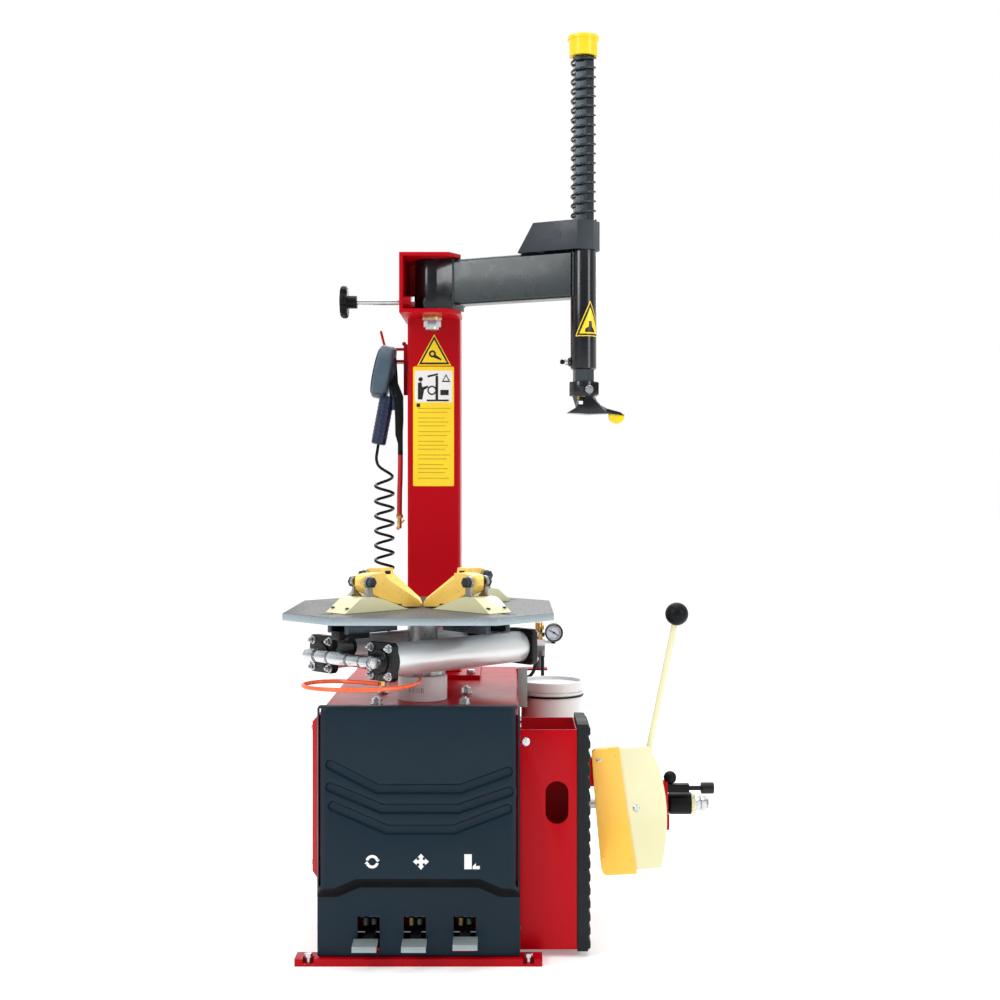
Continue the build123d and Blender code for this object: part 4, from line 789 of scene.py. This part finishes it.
TRIANGLE = [(-38, -35), (38, -35), (0, 35)]
BODY_SHAPE = [(-36, -30), (-26, -30), (-22, -8), (-12, -2), (-14, 2), (-26, -2), (-28, 10), (-36, 8)]
WARNING_Z, PLACARD_Z, PICTURE_Z = 1.214, 1.040, 1.131
ROW_STEP, BLOCK_GAP = 0.009, 0.004
for name, outline, x, z, material, thickness in (
        ("warning_rim", scaled(TRIANGLE, 1.02), 0.001, WARNING_Z, STICKER_YELLOW, 0.0003),
        ("warning_border", scaled(TRIANGLE, 0.92, -0.8), 0.001, WARNING_Z, INK, 0.0005),
        ("warning_field", scaled(TRIANGLE, 0.74, -2.6), 0.001, WARNING_Z, STICKER_YELLOW, 0.0007),
        ("warning_gear", ring_points(8.5, 9, 0.2), -0.003, 1.205, INK, 0.0009),
        ("warning_gear_hole", ring_points(3.8, 12), -0.003, 1.205, STICKER_YELLOW, 0.0011),
        ("warning_bar", [(-2, -2), (16, -9), (17, -6), (2, 5)], 0.001, 1.199, INK, 0.0010),
        ("placard_rim", rounded(-47, 46, -136, 136, 3), 0.0, PLACARD_Z, STICKER_YELLOW, 0.0004),
        ("placard_picture", rounded(-43, 42, -36, 36, 2), 0.0, PICTURE_Z, STICKER_WHITE, 0.0007),
        ("picture_mast", bar(4, 10, -30, 24), 0.0, PICTURE_Z, INK, 0.0010),
        ("picture_arm", [(-14, 20), (10, 26), (10, 30), (-14, 25)], 0.0, PICTURE_Z, INK, 0.0010),
        ("picture_body", BODY_SHAPE, 0.0, PICTURE_Z, INK, 0.0010),
        ("picture_head", ring_points(5, 16), -0.030, 1.147, INK, 0.0010),
        ("picture_wheel", arc_band(9, 3.4, 0, 350, 24), -0.004, 1.122, INK, 0.0010),
        ("picture_foot", bar(-16, 34, -34, -30), 0.0, PICTURE_Z, INK, 0.0010),
        ("picture_sign", scaled(TRIANGLE, 0.26), 0.028, 1.150, INK, 0.0010),
        ("picture_sign_field", scaled(TRIANGLE, 0.15, -0.8), 0.028, 1.150, STICKER_WHITE, 0.0012),
        ("picture_block", bar(15, 34, -20, -8), 0.0, PICTURE_Z, INK, 0.0010)):
    sheet(name, outline, (x, COLUMN_Y, z), material, thickness)
row, z = 0, 1.081
for lines_in_block in (2, 3, 2, 3, 2, 3, 1):
    for _ in range(lines_in_block):
        right_end = 38 - (row * 7) % 17
        sheet(f"placard_line_{row}", bar(-36, right_end, -0.9, 0.9), (0.0, COLUMN_Y, z), LINE_TONE, 0.0007)
        row += 1
        z -= ROW_STEP
    z -= BLOCK_GAP
sheet("placard_mark", bar(-39, -31, -4, 4), (0.0, COLUMN_Y, 1.088), INK, 0.0007)


# ---------------------------------------------------------------- labels wrapped on round faces
WRAP_ROWS, WRAP_STEPS = 8, 12


def wrapped(name, corners, centre, radius, middle, material, body, thickness=0.0003):
    """A patch laid round an upright cylinder, between the left and right edges of (z, left, right) rows."""
    bm = bmesh.new()
    rows = []
    for (z0, l0, r0), (z1, l1, r1) in zip(corners, corners[1:]):
        for k in range(WRAP_ROWS):
            share = k / WRAP_ROWS
            rows.append((z0 + (z1 - z0) * share, l0 + (l1 - l0) * share, r0 + (r1 - r0) * share))
    rows.append(corners[-1])
    grid = []
    for z, left, right in rows:
        line = []
        for k in range(WRAP_STEPS + 1):
            angle = middle + (left + (right - left) * k / WRAP_STEPS) / radius
            line.append(bm.verts.new((centre[0] + radius * cos(angle), centre[1] + radius * sin(angle), z)))
        grid.append(line)
    for low, high in zip(grid, grid[1:]):
        for k in range(WRAP_STEPS):
            bm.faces.new((low[k], low[k + 1], high[k + 1], high[k]))
    bmesh.ops.remove_doubles(bm, verts=bm.verts, dist=1e-6)
    bmesh.ops.solidify(bm, geom=bm.faces, thickness=-thickness)
    return from_bmesh(name, bm, material, body, 40)


GUIDE = (HEX_X, HEX_Y)
FACE_ANGLE = radians(-62)
for name, half, low, high, radius, material in (
        ("guide_sticker_rim", 0.0330, 1.220, 1.2945, 0.02755, STICKER_YELLOW),
        ("guide_sticker_border", 0.0300, 1.2220, 1.2895, 0.02785, INK),
        ("guide_sticker_field", 0.0235, 1.2255, 1.2795, 0.02815, STICKER_YELLOW)):
    wrapped(name, [(low, -half, half), (high, -0.0004, 0.0004)], GUIDE, radius, FACE_ANGLE, material, "arm")
wrapped("guide_sticker_hand", [(1.2285, -0.012, 0.012), (1.236, -0.011, 0.008), (1.240, -0.004, 0.004),
                               (1.252, -0.003, 0.003)], GUIDE, 0.02845, FACE_ANGLE, INK, "arm")
BAR_WIDTHS = (0.0016, 0.0009, 0.0022, 0.0010, 0.0016, 0.0009, 0.0026, 0.0012)
for k, width in enumerate(BAR_WIDTHS):
    left = -0.026 + k * 0.0042
    wrapped(f"collar_bar_{k}", [(0.490, left, left + width), (0.500, left, left + width)],
            (TABLE.x, TABLE.y), 0.0500, radians(-90), LABEL_GREY, "machine", 0.0002)


# ---------------------------------------------------------------- swing arm, column and mast head
def weld(name, points, material, body, radius=0.0022):
    """A rippled weld bead along straight stretches."""
    route = []
    for a, b in zip(points, points[1:]):
        a, b = Vector(a), Vector(b)
        count = max(2, int((b - a).length / 0.004))
        route += [tuple(a.lerp(b, k / count)) for k in range(count)]
    bead = pipe(name, route + [tuple(points[-1])], radius, material, body)
    for k, point in enumerate(bead.data.splines[0].points):
        point.radius = radius * (1.0 + 0.22 * sin(k * 2.4))
    return bead


ROOT, HALF_WIDE, BEAM_LOW, BEAM_HIGH = 0.0675, 0.0262, 1.3035, 1.4025
beam = [(ROOT, y * HALF_WIDE, z) for y, z in ((-1, BEAM_LOW), (-1, BEAM_HIGH), (1, BEAM_HIGH), (1, BEAM_LOW),
                                              (-1, BEAM_LOW))]
weld("beam_root_weld", [arm_point(*point) for point in beam], DARK_TEAL, "arm")
for side in (-1, 1):
    seam = [arm_point(0.3565, side * 0.0258, z) for z in (1.306, 1.400)]
    weld(f"guide_weld_{side + 2}", seam, DARK_TEAL, "arm")
FOOT_Z = 0.4832
base_seam = [(-0.061, 0.2285, FOOT_Z), (0.061, 0.2285, FOOT_Z), (0.0615, 0.351, FOOT_Z),
             (-0.0615, 0.351, FOOT_Z), (-0.061, 0.2285, FOOT_Z)]
weld("column_foot_weld", base_seam, RED, "machine", 0.0026)

LOCK_BOLT_Z = 1.168
for name, profile, x, material, segments in (
        ("lock_bolt_ring", [(0.0100, 0), (0.0100, 0.004), (0.0080, 0.0055), (0.0, 0.0055)], 0.3018,
         NEAR_BLACK, 36),
        ("lock_bolt_head", [(0.0070, 0), (0.0074, 0.001), (0.0074, 0.0055), (0.0060, 0.0075), (0.0, 0.0078)],
         0.2966, CHROME, 30),
        ("lock_bolt_knob", [(0.0028, 0), (0.0044, 0.0018), (0.0055, 0.0052), (0.0046, 0.0088), (0.0, 0.0104)],
         0.2892, BLACK, 24)):
    turned(name, profile, (x, HEX_Y, LOCK_BOLT_Z), (-1, 0, 0), material, "arm", segments)
turned("stop_nut", [(0.0080, 0), (0.0125, 0), (0.0128, 0.0008), (0.0128, 0.0072), (0.0125, 0.008),
                    (0.0080, 0.008)], (-0.044, 0.110, 1.308), RIGHT, CHROME, "machine", 6, hollow=True)
plate("head_shim", bar(-0.0095, 0.0095, -0.0035, 0.0035), 0.003,
      facing((HEX_X - 0.0055, HEX_Y - 0.0270, 1.0905), RIGHT, UP), BRASS, "mast", bevel=0.0008)
turned("head_roller", [(0.0030, 0), (0.0052, 0.001), (0.0052, 0.0090), (0.0030, 0.0100), (0.0, 0.0100)],
       (HEX_X - 0.0118, HEX_Y - 0.0262, 1.080), RIGHT, WHITE, "mast", 28)
hex_bolt("head_bolt", (HEX_X + 0.0112, HEX_Y - 0.0285, 1.108), (0.05, -1, 0), 0.0125, 0.006, CHROME, "mast",
         0.3, 0.0085)
hex_bolt("head_bolt_low", (HEX_X - 0.0050, HEX_Y - 0.0288, 1.110), (-0.1, -1, 0), 0.0085, 0.004,
         DARK_STEEL, "mast")
plate("lock_badge", bar(-0.022, 0.022, -0.007, 0.007), 0.0008,
      facing(arm_point(0.310, -0.0360, 1.434), (cos(ARM_TURN), sin(ARM_TURN), 0), UP), LOCK, "arm",
      bevel=0.0003)


# ---------------------------------------------------------------- gauges
def dial(name, centre, outward, radius, body, needle):
    """A pale dial with its tick marks and, if wanted, a hand."""
    place = axis_matrix(centre, outward)
    turned(name + "_face", [(radius, 0), (radius, 0.0004), (0.0, 0.0004)], centre, outward, DIAL, body, 48)
    for k in range(17):
        half, reach = (0.0006, 0.22) if k % 4 == 0 else (0.0004, 0.16)
        lift = Matrix.Translation((0, 0, 0.0004)) @ Matrix.Rotation(radians(-210 + 15 * k), 4, "Z")
        lift = lift @ Matrix.Translation((0, radius * 0.68, 0))
        plate(f"{name}_mark_{k}", bar(-half, half, 0, radius * reach), 0.0002, place @ lift, INK, body)
    if needle:
        hand = [(-0.0012, -radius * 0.2), (0.0012, -radius * 0.2), (0.0004, radius * 0.75),
                (-0.0004, radius * 0.75)]
        lift = Matrix.Translation((0, 0, 0.001)) @ Matrix.Rotation(0.7, 4, "Z")
        plate(name + "_hand", hand, 0.0006, place @ lift, INK, body)


GAUGE_X, GAUGE_Z = 0.277, 0.559
dial("line_gauge", (GAUGE_X, 0.3419, GAUGE_Z), FRONT, 0.0176, "machine", False)
turned("line_gauge_bezel", [(0.0182, 0), (0.0214, 0), (0.0214, 0.002), (0.0200, 0.0034), (0.0182, 0.002)],
       (GAUGE_X, 0.3375, GAUGE_Z), FRONT, NEAR_BLACK, "machine", 56, hollow=True)
BOOT_LEAN = radians(12)
BOOT_OUT = Vector((-cos(BOOT_LEAN), 0, sin(BOOT_LEAN)))
boot_face = Vector((-0.118, GUN_Y, 1.167)) + BOOT_OUT * 0.0181
dial("air_gun_gauge", tuple(boot_face), tuple(BOOT_OUT), 0.047, "machine", True)
turned("air_gun_bezel", [(0.0475, 0), (0.0535, 0), (0.0530, 0.0022), (0.0490, 0.0030), (0.0475, 0.0018)],
       tuple(boot_face), tuple(BOOT_OUT), BLACK, "machine", 64, hollow=True)
GRIP_X, GRIP_LOW, GRIP_LONG, GRIP_LEAN = -0.131, 1.000, 0.112, 0.021
for k in range(9):
    z = 1.018 + 0.009 * k
    ring_centre = (GRIP_X + GRIP_LEAN * (z - GRIP_LOW) / GRIP_LONG, GUN_Y, z)
    turned(f"grip_rib_{k}", [(0.0168, 0), (0.0178, 0.001), (0.0178, 0.0032), (0.0168, 0.0042)], ring_centre,
           (0.187, 0, 1), BLUE, "machine", 40, hollow=True)


# ---------------------------------------------------------------- valves, knobs and small screws
def valve_trim(number, x, plug, ring):
    """The plug, the ring and the bridge of one pedal's air valve, seen through its slot."""
    hex_bolt(f"valve_plug_{number}", (x - 0.008, -0.312, 0.068), UP, 0.010, 0.014, plug, "machine")
    turned(f"valve_ring_{number}",
           [(0.0046, 0), (0.0056, 0.001), (0.0056, 0.011), (0.0046, 0.012), (0.0, 0.012)],
           (x + 0.008, -0.312, 0.069), UP, ring, "machine", 20)
    plate(f"valve_bridge_{number}", bar(-0.019, 0.019, -0.006, 0.006), 0.004,
          facing((x, -0.306, 0.088), RIGHT, UP), DARK_STEEL, "machine", bevel=0.0008)


def knob_ridge(number, count, x, y, z, radius):
    """One straight ridge along the round knob of the reach pin."""
    turn = 2 * pi * number / count
    origin = (x, y + radius * cos(turn), z + radius * sin(turn))
    plate(f"knob_ridge_{number}", bar(0, 0.021, -0.0008, 0.0008), 0.0009,
          facing(origin, RIGHT, (0, -sin(turn), cos(turn))), BLACK_METAL, "reach_pin")


for number, (x, plug, ring) in enumerate(zip(PEDAL_X, (IRON, DIM_BRASS, DIM_BRASS), (IRON, GREEN, GREEN)),
                                         start=1):
    valve_trim(number, x, plug, ring)
PAN_HALF, PAN_Z, PAN_THICK = 0.184, 0.0145, 0.0025
for name, y0, y1 in (("cabinet_pan_front", -0.329, -0.192), ("cabinet_pan_middle", -0.118, 0.180)):
    plate(name, bar(-PAN_HALF, PAN_HALF, y0, y1), PAN_THICK, Matrix.Translation((0, 0, PAN_Z)), BLACK_METAL,
          "machine", bevel=0.0005)
KNOB_RIDGES = 20
for number in range(KNOB_RIDGES):
    knob_ridge(number, KNOB_RIDGES, 0.573, -0.060, 0.277, 0.0118)
for name, profile, place, direction, body in (
        ("blade_screw", [(0.0065, 0), (0.0065, 0.0015), (0.0045, 0.003), (0.0, 0.0032)],
         (0.420, -0.2458, 0.276), FRONT, "blade"),
        ("guard_screw", [(0.0055, 0), (0.0055, 0.001), (0.0042, 0.0026), (0.0, 0.003)],
         (0.345, -0.2708, 0.376), (0, -0.9, 0.43), "blade")):
    turned(name, profile, place, direction, CHROME, body, 24)
BLADE_AXIS_Y, BLADE_AXIS_Z, BLADE_R = -0.473, 0.279, 0.223
for k, (x, z) in enumerate(((0.352, 0.182), (0.409, 0.180), (0.380, 0.385))):
    y = BLADE_AXIS_Y + (BLADE_R ** 2 - (z - BLADE_AXIS_Z) ** 2) ** 0.5
    turned(f"guard_rivet_{k}", [(0.0045, 0), (0.0045, 0.0006), (0.0030, 0.0018), (0.0, 0.002)],
           (x, y + 0.0004, z), FRONT, GUARD, "blade", 20)
turned("box_plug", [(0.0085, 0), (0.0085, 0.0012), (0.0060, 0.0028), (0.0, 0.0030)], (0.2025, -0.2978, 0.415),
       FRONT, CHROME, "machine", 24)


# ---------------------------------------------------------------- bring the scene up to date
bpy.context.view_layer.update()
